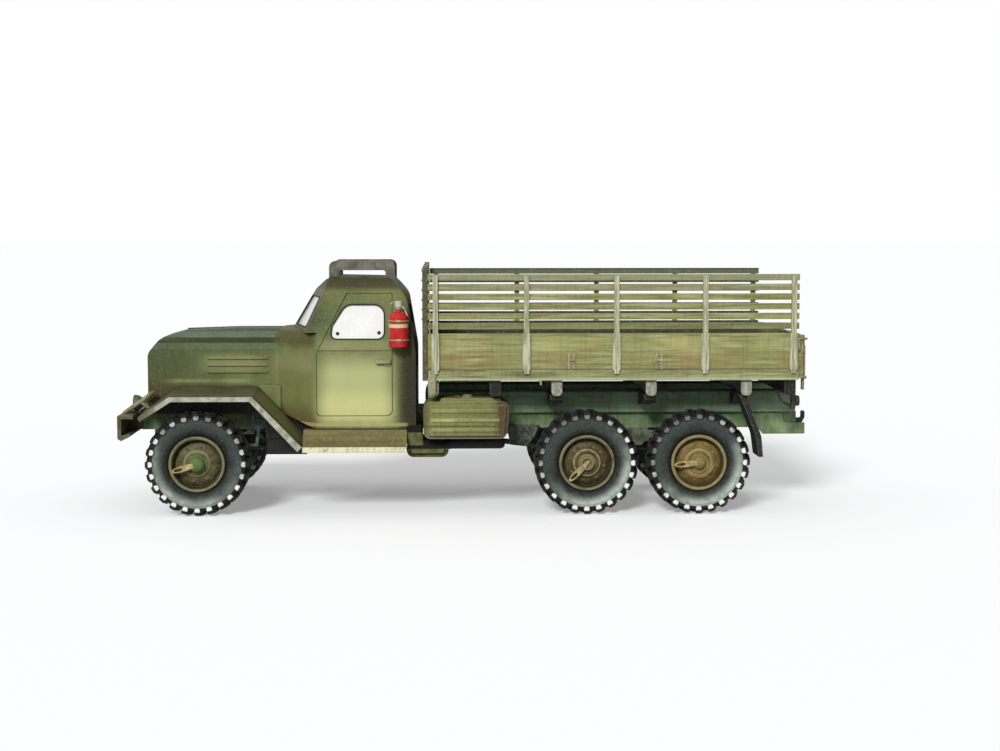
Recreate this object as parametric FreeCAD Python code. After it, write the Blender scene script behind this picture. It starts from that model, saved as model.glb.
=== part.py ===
"""Static display model of a bonneted 6x6 military cargo truck, 1:35, in millimetres.

X runs from the front bumper (-X) to the tow hooks (+X), Y across, with the vehicle's left side
at -Y, and Z up from the ground. The origin is on the ground under the middle of the model.
"""
import FreeCAD, Part
import math
import os

V = FreeCAD.Vector
X_AXIS, Y_AXIS, Z_AXIS = V(1, 0, 0), V(0, 1, 0), V(0, 0, 1)
SIDES = (("left", -1), ("right", 1))

# ---------------------------------------------------------------- driving sizes
# Running gear
front_overhang = 21.6        # front axle to the bumper's face
wheelbase = 106.0            # front axle to middle axle
bogie_spacing = 30.7         # middle axle to rear axle
rear_overhang = 32.8         # rear axle to the tips of the tow hooks
track = 50.1                 # between the middle planes of the tyres
tyre_radius = 14.3
tyre_width = 8.7
tread_half = 3.9
lug_height = 1.25
lug_count = 24
bore_radius = 7.25           # tyre seat
rim_flange_radius = 7.65
rim_wall = 0.6
pin_radius = 0.95            # axle pins that the wheels turn on
pin_fit = 0.05
kingpin_offset = 6.05        # kingpin inboard of the tyre's middle plane
kingpin_radius = 0.7

# Chassis
rail_half = 12.0             # outer face of each rail
rail_bottom = 22.0
rail_top = 26.6
rail_web = 0.9
rail_flange = 2.4
rail_rear_gap = 3.0          # rail end to hook tips

# Bumper and lamps
bumper_bottom = 20.5
bumper_top = 27.5
bumper_half = 27.0
bumper_depth = 4.2           # face to the ends of the rails
plate = 1.0
lamp_y = 18.6
lamp_radius = 2.2

# Bonnet and nose
hood_half = 13.0
hood_bottom = 27.2
hood_shoulder = 46.8
hood_hump = 49.9
hood_hump_half = 6.4
nose_reach = 15.4            # nose face ahead of the front axle
hood_length = 36.5           # nose face to the cowl joint
skin = 0.9                   # body panels
tunnel_top = 40.6            # opening in the cowl's front for the engine

# Front wings and running boards
wing_half = 31.0
wing_inner = 13.6
wing_rise = 1.4              # how much higher the wing is at the bonnet
wing_top = 32.8              # top of its outer edge
wing_thick = 1.3
board_bottom = 17.6          # running boards
lip_height = 1.5

# Cab
cab_half = 24.0
roof_half = 20.6
door_front = 32.2            # behind the front axle
door_rear = 53.0
door_bottom = 26.8
door_gap = 0.15              # seam round each door
cab_rear = 59.4
cab_bottom = 23.1
belt_height = 44.5
sill_height = 47.9           # window sills
roof_top = 64.7
roof_depth = 4.3             # roof pressing, top to seam
frame_foot = 50.4            # lower edge of the screen frame
pillar_foot = 44.2           # where the door's front edge starts to lean back
rack_rise = 4.3              # roof rack above the roof
rack_half = 11.0
rack_bar = 2.6

# Inside the cab
seat_front = 41.0            # behind the front axle
seat_rear_gap = 2.4          # bench to the cab's rear face
seat_height = 36.0
seat_back_top = 50.0
seat_half = 21.0
fit = 0.1                    # clearance of pieces that are set in place
wheel_ring = 5.2             # steering wheel, to the middle of its rim
wheel_y = 11.0

# Tanks, silencer and mudflaps
tank_front = 61.5            # behind the front axle
tank_length = 22.5
tank_out = 30.4
tank_in = 17.5
tank_bottom = 22.0
tank_top = 31.3
silencer_front = 56.9        # behind the front axle
silencer_length = 11.3
silencer_out = 25.5
silencer_in = 18.5
silencer_bottom = 17.0
silencer_top = 19.8
flap_out = 30.0
flap_in = 20.5
flap_bottom = 15.9

# Cargo bed
bed_front = 61.3             # behind the front axle
bed_rear = 164.7
bed_half = 32.2              # outer face of the side boards
stake_out = 0.85             # stakes stand proud of the boards
floor_bottom = 37.2
floor_top = 40.0             # top of the edge beams that the sides stand on
deck_top = 39.6
board_thick = 1.1
board_height = 9.9
slat_height = 1.7
slat_pitch = 2.62
slat_count = 6
side_top = 65.85
headboard_top = 67.7
beam_top = 32.9              # bearers, on the rails

# ---------------------------------------------------------------- derived places
length = front_overhang + wheelbase + bogie_spacing + rear_overhang
front_x = -length / 2 + front_overhang
mid_x = front_x + wheelbase
rear_x = mid_x + bogie_spacing
bumper_x = front_x - front_overhang
rail_end = length / 2 - rail_rear_gap
axle_z = tyre_radius
nose_x = front_x - nose_reach
cowl_x = nose_x + hood_length
half_track = track / 2
kingpin_y = half_track - kingpin_offset
rim_inner = bore_radius - 0.1 - rim_wall
board_top = cab_bottom
lip_top = board_bottom + lip_height
roof_split = roof_top - roof_depth
rack_top = roof_top + rack_rise
# half-widths and planes that lie clear of the cab and the bonnet, for cutting through them
cab_clear = cab_half + 6.0
hood_clear = hood_half + 7.0
cab_start, cab_end = front_x + door_front - 12.2, front_x + cab_rear + 2.6
glass_zone = roof_split - sill_height    # height that the door and rear windows share


# ---------------------------------------------------------------- shape helpers
def box(x0, x1, y0, y1, z0, z1):
    """Axis-aligned block between two corners."""
    return Part.makeBox(x1 - x0, y1 - y0, z1 - z0, V(x0, y0, z0))


def rod(start, end, radius):
    """Round bar between two points."""
    run = end.sub(start)
    return Part.makeCylinder(radius, run.Length, start, run)


def outline(points, place):
    """Closed wire through (a, b) or (a, b, radius) corners; a radius rounds its corner."""
    corners = [(place(p[0], p[1]), p[2] if len(p) > 2 else 0.0) for p in points]
    edges, starts, ends = [], [], []
    for i, (corner, radius) in enumerate(corners):
        before = corners[i - 1][0].sub(corner)
        after = corners[(i + 1) % len(corners)][0].sub(corner)
        before.normalize()
        after.normalize()
        if radius:
            half = before.getAngle(after) / 2
            reach = radius / math.tan(half)
            middle = before.add(after)
            middle.normalize()
            apex = middle.multiply(radius / math.sin(half) - radius)
            a = corner.add(V(before).multiply(reach))
            b = corner.add(V(after).multiply(reach))
            starts.append(a)
            ends.append(b)
            edges.append(Part.Arc(a, corner.add(apex), b).toShape())
        else:
            starts.append(corner)
            ends.append(corner)
            edges.append(None)
    chain = []
    for i, arc in enumerate(edges):
        if arc:
            chain.append(arc)
        following = (i + 1) % len(edges)
        if ends[i].sub(starts[following]).Length > 1e-6:
            chain.append(Part.LineSegment(ends[i], starts[following]).toShape())
    return Part.Wire(chain)


def prism_y(points, y0, y1):
    """Side-view outline of (x, z) corners, extruded across from y0 to y1."""
    wire = outline(points, lambda a, b: V(a, y0, b))
    return Part.Face(wire).extrude(V(0, y1 - y0, 0))


def prism_x(points, x0, x1):
    """Front-view outline of (y, z) corners, extruded along from x0 to x1."""
    wire = outline(points, lambda a, b: V(x0, a, b))
    return Part.Face(wire).extrude(V(x1 - x0, 0, 0))


def shifted(points, dx):
    """Outline of a form that is laid out from the front axle, moved to the model's frame."""
    return [(p[0] + dx,) + tuple(p[1:]) for p in points]


def mirrored(shape):
    """The same shape on the other side of the vehicle."""
    return shape.mirror(V(0, 0, 0), Y_AXIS)


def both(shape):
    """A left-hand piece and its mirror image."""
    return Part.makeCompound([shape, mirrored(shape)])


def joined(shapes):
    """One solid from touching or overlapping ones."""
    return shapes[0].multiFuse(shapes[1:]).removeSplitter()


def save(name, shape):
    shape.exportStep("parts/%s.step" % name)


# ---------------------------------------------------------------- wheels
def ring_point(radius, out, turn):
    return V(radius * math.sin(turn), -out, radius * math.cos(turn))


def flat_face(points):
    return Part.Face(Part.makePolygon(points + [points[0]]))


def tyre():
    """Cross-country tyre on its own axis, outboard side at -Y, with staggered shoulder lugs."""
    step = 2 * math.pi / lug_count
    floor = tyre_radius - lug_height
    half = tyre_width / 2
    # columns: radius, distance out from the middle plane
    section = ((bore_radius, -half + 0.9), (10.6, -half), (floor, -tread_half),
               (floor, tread_half), (10.6, half), (bore_radius, half - 0.9))
    faces = []
    for i in range(lug_count):
        a, b = i * step, (i + 1) * step
        for j, (r0, t0) in enumerate(section):
            r1, t1 = section[(j + 1) % len(section)]
            faces.append(flat_face([ring_point(r0, t0, a), ring_point(r1, t1, a),
                                    ring_point(r1, t1, b), ring_point(r0, t0, b)]))
    carcass = Part.makeSolid(Part.makeShell(faces))
    if carcass.Volume < 0:
        carcass.reverse()
    lugs = []
    for i in range(lug_count):
        for side, lead in ((1, 0.0), (-1, 0.53)):
            a, b = (i + lead) * step, (i + lead + 0.47) * step
            top = [ring_point(tyre_radius, side * 0.2, a), ring_point(tyre_radius, side * 0.2, b),
                   ring_point(tyre_radius - 0.2, side * tread_half, b),
                   ring_point(tyre_radius - 0.2, side * tread_half, a)]
            foot = [V(p.x * 0.9, p.y, p.z * 0.9) for p in top]
            walls = [flat_face([top[k], top[(k + 1) % 4], foot[(k + 1) % 4], foot[k]])
                     for k in range(4)]
            lug = Part.makeSolid(Part.makeShell(walls + [flat_face(top), flat_face(foot)]))
            if lug.Volume < 0:
                lug.reverse()
            lugs.append(lug)
    return carcass.multiFuse(lugs).removeSplitter()


def wheel_disc(hub_radius, hub_out):
    """Rim, dished disc and hub on the wheel's own axis, outboard side at -Y."""
    barrel = bore_radius - 0.1
    edge = tyre_width / 2 - 0.74
    # columns: radius, distance out
    section = ((pin_radius + pin_fit, -2.1), (2.5, -2.1), (2.5, 1.4), (rim_inner, 0.6),
               (rim_inner, -edge - 0.5), (rim_flange_radius, -edge - 0.5),
               (rim_flange_radius, -edge), (barrel, -edge),
               (barrel, edge), (rim_flange_radius, edge), (rim_flange_radius, edge + 0.55),
               (rim_inner, edge + 0.55), (rim_inner, 1.6), (5.2, 2.4), (4.2, 2.5), (4.2, 3.2),
               (3.5, 3.4), (hub_radius, 3.4), (hub_radius, hub_out - 0.5),
               (hub_radius - 0.6, hub_out), (0.0, hub_out), (0.0, 2.3),
               (pin_radius + pin_fit, 2.3))
    points = [V(r, -t, 0) for r, t in section]
    face = Part.Face(Part.makePolygon(points + [points[0]]))
    return face.revolve(V(0, 0, 0), Y_AXIS, 360)


def inflation_arm(hub_out, turn):
    """Slotted arm from the hub to the rim flange, turned about the axle from straight forward."""
    low, high = tyre_width / 2 - 0.24, hub_out - 0.1
    width, reach = 1.2, rim_flange_radius - 1.1
    bar = [(-1.4, -width * 0.8, 0.3), (-1.4, width * 0.8, 0.3), (reach, width, 1.0),
           (reach, -width, 1.0)]
    slot = [(reach - 3.3, -0.45, 0.4), (reach - 3.3, 0.45, 0.4), (reach - 0.9, 0.45, 0.4),
            (reach - 0.9, -0.45, 0.4)]
    arm = prism_y([(-p[0],) + p[1:] for p in bar], -high, -low)
    arm = arm.cut(prism_y([(-p[0],) + p[1:] for p in slot], -high - 1, -low + 1))
    arm.rotate(V(0, 0, 0), Y_AXIS, turn)
    return arm


# columns: axle, place along X, hub radius, how far the hub stands out, angle of the arm
AXLES = (("front", front_x, 2.2, 5.5, -16.0),
         ("mid", mid_x, 1.9, 5.2, -45.0),
         ("rear", rear_x, 1.9, 5.2, -5.0))


def wheels():
    rubber = tyre()
    for axle, x, hub_radius, hub_out, turn in AXLES:
        disc = wheel_disc(hub_radius, hub_out).fuse(inflation_arm(hub_out, turn))
        for side, sign in SIDES:
            for piece, name in ((disc, "wheel"), (rubber, "tyre")):
                placed = piece.copy() if sign < 0 else mirrored(piece)
                placed.translate(V(x, sign * half_track, axle_z))
                save("%s_%s_%s" % (name, axle, side), placed)


# ---------------------------------------------------------------- steering
knuckle_low, knuckle_high = axle_z - 3.9, axle_z + 3.9
knuckle_plate = 1.2
boss_radius = 2.1
arm_reach = 7.5
arm_pin_radius = 0.45
stub_start = half_track - 2.45
stub_end = half_track + 2.15


def steering_knuckle():
    """Left fork, kingpin, stub axle and steering arm."""
    y = -kingpin_y
    at = V(front_x, y, 0)
    low = Part.makeCylinder(boss_radius, knuckle_plate, V(front_x, y, knuckle_low))
    high = Part.makeCylinder(boss_radius, knuckle_plate,
                             V(front_x, y, knuckle_high - knuckle_plate))
    pin = rod(at.add(V(0, 0, knuckle_low)), at.add(V(0, 0, knuckle_high)), kingpin_radius)
    plate_in = stub_start - 1.0
    upright = box(front_x - 2, front_x + 2, -stub_start, -plate_in, knuckle_low, knuckle_high)
    webs = [box(front_x - 2, front_x + 2, -plate_in - 0.1, y, z, z + knuckle_plate)
            for z in (knuckle_low, knuckle_high - knuckle_plate)]
    stub = rod(V(front_x, -stub_start + 0.1, axle_z), V(front_x, -stub_end, axle_z), pin_radius)
    arm = box(front_x, front_x + arm_reach, y - 0.8, y + 0.8, knuckle_low, knuckle_low + 1.0)
    eye = Part.makeCylinder(0.8, 1.0, V(front_x + arm_reach, y, knuckle_low))
    arm_pin = rod(V(front_x + arm_reach, y, knuckle_low + 0.1),
                  V(front_x + arm_reach, y, knuckle_low - 1.5), arm_pin_radius)
    return joined([low, high, pin, upright] + webs + [stub, arm, eye, arm_pin])


def tie_rod():
    """Bar across the vehicle with an eye on each steering arm's pin."""
    x, z = front_x + arm_reach, knuckle_low - 0.75
    bar = rod(V(x, -kingpin_y, z), V(x, kingpin_y, z), 0.45)
    eyes = [Part.makeCylinder(1.0, 1.1, V(x, s * kingpin_y, z - 0.55)) for _, s in SIDES]
    holes = [Part.makeCylinder(arm_pin_radius + pin_fit, 3, V(x, s * kingpin_y, z - 1.5))
             for _, s in SIDES]
    return joined([bar] + eyes).cut(Part.makeCompound(holes))


# ---------------------------------------------------------------- axles and drive
diff_radius = 4.4
diff_y = 2.0
drum_radius = 5.4


def front_axle():
    inner = kingpin_y - 1.0
    tube = rod(V(front_x, -inner, axle_z), V(front_x, inner, axle_z), 1.6)
    ball = Part.makeSphere(diff_radius, V(front_x, diff_y, axle_z))
    nose = rod(V(front_x, diff_y, axle_z), V(front_x + 5.6, diff_y, axle_z + 0.6), 1.5)
    bosses = [Part.makeCylinder(boss_radius, knuckle_high - knuckle_low - 2 * knuckle_plate - 0.4,
                                V(front_x, s * kingpin_y, knuckle_low + knuckle_plate + 0.2))
              for _, s in SIDES]
    pads = [box(front_x - 1.8, front_x + 1.8, s * spring_y - 1.2, s * spring_y + 1.2,
                axle_z, axle_z + 2.2) for _, s in SIDES]
    holes = [Part.makeCylinder(kingpin_radius + pin_fit, 9, V(front_x, s * kingpin_y, knuckle_low))
             for _, s in SIDES]
    return joined([tube, ball, nose] + bosses + pads).cut(Part.makeCompound(holes))


def driven_axle(x, nose_side):
    """Beam axle with brake drums and the pins that carry the wheels."""
    tube = rod(V(x, -stub_start, axle_z), V(x, stub_start, axle_z), 1.7)
    ball = Part.makeSphere(diff_radius, V(x, diff_y, axle_z))
    nose = rod(V(x, diff_y, axle_z), V(x + 5.6 * nose_side, diff_y, axle_z + 0.6), 1.5)
    pieces = [tube, ball, nose]
    for _, s in SIDES:
        pieces.append(rod(V(x, s * (stub_start - 2.6), axle_z), V(x, s * stub_start, axle_z),
                          drum_radius))
        pieces.append(rod(V(x, s * (stub_start - 0.1), axle_z), V(x, s * stub_end, axle_z),
                          pin_radius))
        pieces.append(box(x - 1.8, x + 1.8, s * spring_y - 1.2, s * spring_y + 1.2,
                          axle_z, axle_z + 2.6))
    return joined(pieces)


spring_y = 11.3
spring_half_width = 1.1
leaf = 0.75


def leaf_springs():
    """Front springs hang below the rails; rear ones pivot between the two rear axles."""
    front_seat, rear_seat = axle_z + 2.2, axle_z + 2.6
    pieces = []
    reach, drop = 13.5, rail_bottom - 1.2
    y0, y1 = -spring_y - spring_half_width, -spring_y + spring_half_width
    # front: short leaves under long ones, ends at the hangers
    front = []
    for k, part in enumerate((1.0, 0.78, 0.55, 0.32)):
        run = reach * part
        base = front_seat + leaf * (3 - k)
        rise = (drop - front_seat - leaf * 3) * part * part
        arch = [(front_x - run, base + rise), (front_x, base), (front_x + run, base + rise),
                (front_x + run, base + rise + leaf), (front_x, base + leaf),
                (front_x - run, base + rise + leaf)]
        front.append(prism_y(arch, y0, y1))
    for s in (-1, 1):
        x = front_x + s * (reach - 0.6)
        front.append(box(x - 0.9, x + 0.9, y0, y1, drop - 0.2, rail_bottom))
    front.append(box(front_x - 1.6, front_x + 1.6, y0 - 0.3, y1 + 0.3, front_seat,
                     front_seat + leaf * 4.4))
    pieces.append(joined(front))
    # rear: the pack is thickest at the pivot and rests on the axles at its ends
    pivot_x = (mid_x + rear_x) / 2
    rear = []
    reach = bogie_spacing / 2
    crown = rear_seat + 1.6
    for k, part in enumerate((1.0, 0.8, 0.6, 0.4)):
        run = reach * part
        fall = (crown - rear_seat) * part * part
        base = crown + leaf * k
        arch = [(pivot_x - run, base - fall), (pivot_x, base), (pivot_x + run, base - fall),
                (pivot_x + run, base - fall + leaf), (pivot_x, base + leaf),
                (pivot_x - run, base - fall + leaf)]
        rear.append(prism_y(arch, y0, y1))
    saddle = [(pivot_x - 3.2, rail_bottom), (pivot_x - 1.8, crown - 1.4, 1.2),
              (pivot_x + 1.8, crown - 1.4, 1.2), (pivot_x + 3.2, rail_bottom)]
    rear.append(prism_y(saddle, y0, y1))
    pieces.append(joined(rear))
    return Part.makeCompound(pieces + [mirrored(p) for p in pieces])


case_x = front_x + 66.0      # middle of the transfer case
case_half = 4.0
case_z = 18.0                # height of its shafts


def propeller_shafts():
    """Shafts from the transfer case to each axle, clear of the cases by a small gap."""
    z0, z1 = axle_z + 0.7, case_z
    front = rod(V(front_x + 5.8, diff_y, z0), V(case_x - case_half - 0.2, diff_y, z1), 0.8)
    middle = rod(V(case_x + case_half + 0.2, diff_y, z1), V(mid_x - 5.8, diff_y, z0), 0.8)
    rear = rod(V(mid_x + diff_radius + 0.2, diff_y, axle_z + 0.3),
               V(rear_x - 5.8, diff_y, axle_z + 0.6), 0.8)
    return Part.makeCompound([front, middle, rear])


def transfer_case():
    body = [(case_x - case_half, 15.0, 1.2), (case_x + case_half, 15.0, 1.2),
            (case_x + case_half, 23.0, 0.8), (case_x - case_half, 23.0, 0.8)]
    housing = prism_y(body, diff_y - 5.5, diff_y + 5.5)
    low = rail_bottom + rail_web
    half = rail_half - rail_web
    bar = box(case_x - 1.0, case_x + 1.0, -half, half, low, low + 1.4)
    return joined([housing, bar])


# ---------------------------------------------------------------- chassis
# places of the cross-members behind the front axle
CROSS_MEMBERS = (-16.0, 22.0, 84.0, 121.35, 151.0)


def chassis_frame():
    x0, x1 = bumper_x + bumper_depth, rail_end
    y0, y1 = -rail_half, -rail_half + rail_flange
    section = [(y0, rail_bottom), (y1, rail_bottom), (y1, rail_bottom + rail_web),
               (y0 + rail_web, rail_bottom + rail_web), (y0 + rail_web, rail_top - rail_web),
               (y1, rail_top - rail_web), (y1, rail_top), (y0, rail_top)]
    rail = prism_x(section, x0, x1)
    inside = rail_half - rail_web / 2
    members = [box(front_x + u - 1.2, front_x + u + 1.2, -inside, inside,
                   rail_bottom + 0.4, rail_top - 0.4) for u in CROSS_MEMBERS]
    end = box(rail_end - 1.6, rail_end, -rail_half, rail_half, rail_bottom, rail_top)
    return joined([rail, mirrored(rail), end] + members)


def tow_hooks():
    """Pair of curved hooks on the rear cross-member."""
    x = rail_end
    shape = [(x, 23.0), (x + rail_rear_gap - 0.8, 23.0, 0.8), (x + rail_rear_gap, 24.6, 0.8),
             (x + rail_rear_gap, 26.4, 0.5), (x + rail_rear_gap - 1.0, 26.4, 0.4),
             (x + rail_rear_gap - 1.0, 24.4, 0.4), (x, 24.4)]
    return both(prism_y(shape, -9.6, -8.2))


def front_bumper():
    x = bumper_x
    section = [(x, bumper_bottom + 0.6, 0.4), (x + 1.0, bumper_bottom, 0.3),
               (x + 3.4, bumper_bottom + 1.2, 0.6), (x + 3.4, bumper_bottom + 2.0),
               (x + plate, bumper_bottom + 1.4, 0.3), (x + plate, bumper_top - plate),
               (x + bumper_depth, bumper_top - plate), (x + bumper_depth, bumper_top),
               (x, bumper_top, 0.4)]
    beam = prism_y(section, -bumper_half, bumper_half)
    brackets = [box(x + plate - 0.1, x + bumper_depth, s * rail_half - 1.2, s * rail_half + 1.2,
                    rail_bottom + 0.2, rail_top - 0.1) for _, s in SIDES]
    return joined([beam] + brackets)


guard_foot_x = bumper_x + 0.9
guard_top_x = bumper_x + 8.2
guard_top_z = bumper_top + 5.2


def lamp_guards():
    """Slanted frame of round bars round each headlamp, standing on the bumper."""
    bar = 0.7
    foot_z = bumper_top + bar
    bars = []
    for dy in (-3.2, 3.2):
        bars.append(rod(V(guard_foot_x, -lamp_y + dy, bumper_top),
                        V(guard_top_x, -lamp_y + dy, guard_top_z), bar))
        bars.append(Part.makeSphere(bar, V(guard_top_x, -lamp_y + dy, guard_top_z)))
    for x, z in ((guard_top_x, guard_top_z), (guard_foot_x + 0.3, foot_z)):
        bars.append(rod(V(x, -lamp_y - 3.2, z), V(x, -lamp_y + 3.2, z), bar))
    bumper = box(bumper_x - 1, guard_top_x, -bumper_half, bumper_half, bumper_bottom, bumper_top)
    return both(joined(bars).cut(bumper))


def headlamps():
    x0, x1, z = bumper_x + 2.9, bumper_x + 6.0, bumper_top + 0.5 + lamp_radius
    # columns: along the lamp's axis, radius
    section = ((0.0, 0.0), (0.0, 1.3), (0.5, lamp_radius - 0.1), (0.9, lamp_radius),
               (1.3, lamp_radius - 0.2), (2.4, 1.5), (x1 - x0, 0.8), (x1 - x0, 0.0))
    points = [V(x0 + a, -lamp_y, z + r) for a, r in section]
    face = Part.Face(Part.makePolygon(points + [points[0]]))
    bowl = face.revolve(V(x0, -lamp_y, z), X_AXIS, 360)
    stalk = rod(V(x0 + 1.1, -lamp_y, bumper_top), V(x0 + 1.1, -lamp_y, z - 1.2), 0.6)
    return both(joined([bowl, stalk]))


# ---------------------------------------------------------------- bonnet
def hood_section(inset, bottom):
    """Front-view outline of the bonnet with its raised middle, drawn inwards by inset."""
    half, shoulder = hood_half - inset, hood_shoulder - inset
    hump = hood_hump_half - inset / 2
    return [(-half, bottom), (-half, shoulder, 3.0), (-hump - 1.2, shoulder + 0.5, 0.8),
            (-hump, hood_hump - inset, 0.8), (hump, hood_hump - inset, 0.8),
            (hump + 1.2, shoulder + 0.5, 0.8), (half, shoulder, 3.0), (half, bottom)]


def nose_profile(inset):
    """Side-view outline that rounds the nose down at the front."""
    x = nose_x + inset
    return [(x, rail_top), (x, hood_hump - 6.6, 3.0),
            (x + 3.4, hood_hump - 2.3 - inset * 0.8, 3.5), (x + 10.0, hood_hump - 0.5 - inset),
            (cowl_x + 1, hood_hump + 0.5 - inset), (cowl_x + 1, rail_top)]


nose_depth = 3.4


def bonnet_outer(inset, bottom):
    body = prism_x(hood_section(inset, bottom), nose_x - 1, cowl_x)
    return body.common(prism_y(nose_profile(inset), -hood_half - 1, hood_half + 1))


def bonnet_shell():
    return bonnet_outer(0.0, hood_bottom).cut(bonnet_outer(skin, hood_bottom - 1))


def radiator_grille():
    """Nose face with upright slots, standing on the front cross-member."""
    outer = bonnet_outer(0.0, rail_top)
    wide, high = hood_clear, hood_hump + 10
    front = outer.common(box(nose_x - 1, nose_x + nose_depth, -wide, wide, rail_top, high))
    hollow = bonnet_outer(skin, rail_top - 1).common(
        box(nose_x, nose_x + nose_depth + 1, -wide, wide, rail_top + skin, high))
    slots = []
    pitch, low, high = 2.0, rail_top + 4.9, hood_hump - 8.2
    for i in range(-5, 6):
        y0, y1 = i * pitch - 0.5, i * pitch + 0.5
        slots.append(prism_x([(y0, low, 0.4), (y0, high, 0.4), (y1, high, 0.4), (y1, low, 0.4)],
                             nose_x - 1, nose_x + skin + 0.4))
    return front.cut(hollow).cut(Part.makeCompound(slots))


side_split = hood_shoulder - 3.0     # seam between the bonnet's top and sides


def hood_top():
    region = box(nose_x + nose_depth, cowl_x, -hood_clear, hood_clear, side_split,
                 hood_hump + 10)
    return bonnet_shell().common(region)


def hood_sides():
    """Left and right side panels, with three long pressed louvres in each."""
    panel = bonnet_shell().common(box(nose_x + nose_depth, cowl_x, -hood_clear, 0, hood_bottom,
                                      side_split))
    y = -hood_half
    pieces = [panel]
    for drop in (5.2, 7.1, 9.0):
        z = hood_shoulder - drop
        pieces.append(prism_x([(y + 0.2, z), (y - 0.4, z + 0.1), (y - 0.4, z + 0.5),
                               (y + 0.2, z + 1.1)], cowl_x - 19.9, cowl_x - 3.2))
    return both(joined(pieces))


def engine_block():
    """Plain block in place of the engine, on two feet that rest on the rails."""
    x0, x1, low, high = front_x - 9.0, cowl_x - 9.1, rail_bottom + 0.8, hood_shoulder - 3.8
    block = [(x0, low, 1.0), (x1, low, 1.0), (x1, high, 2.0), (x0, high, 2.0)]
    reach = rail_half - 0.6
    feet = box(front_x - 3.0, front_x + 1.0, -reach, reach, rail_top, rail_top + 1.4)
    return joined([prism_y(block, -7.0, 7.0), feet])


# ---------------------------------------------------------------- cowl and front wings
def cowl_section(x, half, top_half, bottom, top, corner, grow):
    """Front-view outline, upright to the belt and leaning in above it, drawn outwards by grow."""
    points = [(-half - grow, bottom - grow), (-half - grow, belt_height - 1.0),
              (-top_half - grow, top + grow, corner), (top_half + grow, top + grow, corner),
              (half + grow, belt_height - 1.0), (half + grow, bottom - grow)]
    return outline(points, lambda a, b: V(x, a, b))


def cowl_body(grow):
    """Solid that widens from the bonnet's section to the cab's."""
    front = cowl_section(cowl_x, hood_half, hood_half, cab_bottom + 4.0, hood_hump, 4.5, grow)
    rear = cowl_section(front_x + door_front, cab_half, cab_half - 1.2, cab_bottom,
                        frame_foot - 0.1, 3.5, grow)
    return Part.makeLoft([front, rear], True, True)


def cowl():
    """Scuttle between the bonnet and the doors, open behind and closed by the bulkhead."""
    inner = cowl_body(-skin)
    inner.translate(V(skin, 0, 0))
    below = box(cowl_x + skin, front_x + door_front + 2, -hood_half, hood_half, 20, tunnel_top)
    shell = cowl_body(0.0).cut(inner)
    return shell.cut(below)


# top and underside of the wing's outer edge behind the front axle, (x, z)
WING_LINE = ((-15.4, wing_top - 5.6), (-7.0, wing_top), (15.3, wing_top), (28.6, lip_top))
WING_UNDER = ((27.4, lip_top - wing_thick), (14.6, wing_top - wing_thick),
              (-6.5, wing_top - wing_thick), (-14.9, wing_top - 6.6))


def wing_strip(y, rise):
    """Bent strip of the wing's thickness, drawn at one distance across the vehicle."""
    points = [(front_x + u, z + rise) for u, z in WING_LINE + WING_UNDER]
    return outline(points, lambda a, b: V(a, y, b))


def front_wings():
    """Wings with the inner aprons that close them off from the frame."""
    sheet = Part.makeLoft([wing_strip(-wing_half, 0.0), wing_strip(-wing_inner, wing_rise)],
                          True, True)
    top = wing_top + wing_rise - wing_thick / 2
    edge = [(-13.2, rail_top), (-13.2, wing_top - 3.6), (-6.7, top), (14.9, top),
            (26.0, lip_top + 2.0), (26.0, lip_top + 0.8), (17.5, lip_top + 0.8), (17.5, rail_top)]
    apron = prism_y(shifted(edge, front_x), -wing_inner - skin, -wing_inner)
    return both(joined([sheet, apron]).cut(cowl_body(0.05)))


def running_boards():
    """Stepped board below the door, with three ribs and a thick outer lip."""
    x0, x1 = front_x + WING_LINE[-1][0] + fit, front_x + cab_rear - 2.5
    steps, run, slant = 3, 1.9, 0.5
    rise = (board_top - lip_top) / steps
    top = []
    for i in range(steps):
        y = -wing_half + 1.2 + i * run
        top += [(y, lip_top + i * rise), (y + slant, lip_top + (i + 1) * rise)]
    below = [(y + 0.7, z - skin) for y, z in reversed(top)]
    section = ([(-wing_half, board_bottom), (-wing_half, lip_top)] + top
               + [(-21.5, board_top), (-21.5, board_top - skin)] + below
               + [(-wing_half + skin, lip_top - skin), (-wing_half + skin, board_bottom)])
    return both(prism_x(section, x0, x1))


# ---------------------------------------------------------------- cab
roof_front = door_front + 3.0
screen_start = door_front - 9.7          # ahead of the screen, inside the cowl
# side-view outline of the cab behind the front axle: x, z, corner radius
CAB_LINE = ((screen_start, cab_bottom), (screen_start, frame_foot),
            (roof_front - 5.0, roof_top - 4.2, 2.0), (roof_front, roof_top, 5.0),
            (cab_rear - 6.6, roof_top - 0.4, 4.5), (cab_rear - 2.5, roof_top - 5.6, 4.5),
            (cab_rear, belt_height - 0.9, 5.0), (cab_rear, cab_bottom))
# the same line one panel inwards
CAB_INNER = ((screen_start + skin, cab_bottom - 1), (screen_start + skin, frame_foot - 0.5),
             (roof_front - 3.9, roof_top - 4.8, 1.6), (roof_front + 0.4, roof_top - skin, 4.4),
             (cab_rear - 7.1, roof_top - 0.4 - skin, 3.8), (cab_rear - 3.4, roof_top - 5.8, 3.8),
             (cab_rear - skin, belt_height - 0.9, 4.4), (cab_rear - skin, cab_bottom - 1))


def cab_section(inset, bottom):
    """Front-view outline: upright below the belt, leaning in to the roof."""
    half, roof, z = cab_half - inset, roof_half - inset, roof_top - 3.4
    crown = roof_top + 0.1 - inset
    left = [(-half, bottom), (-half, belt_height, 6.0), (-roof, z, 2.5), (-12.0, crown, 12.0)]
    return left + [(-p[0],) + p[1:] for p in reversed(left)]


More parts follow.
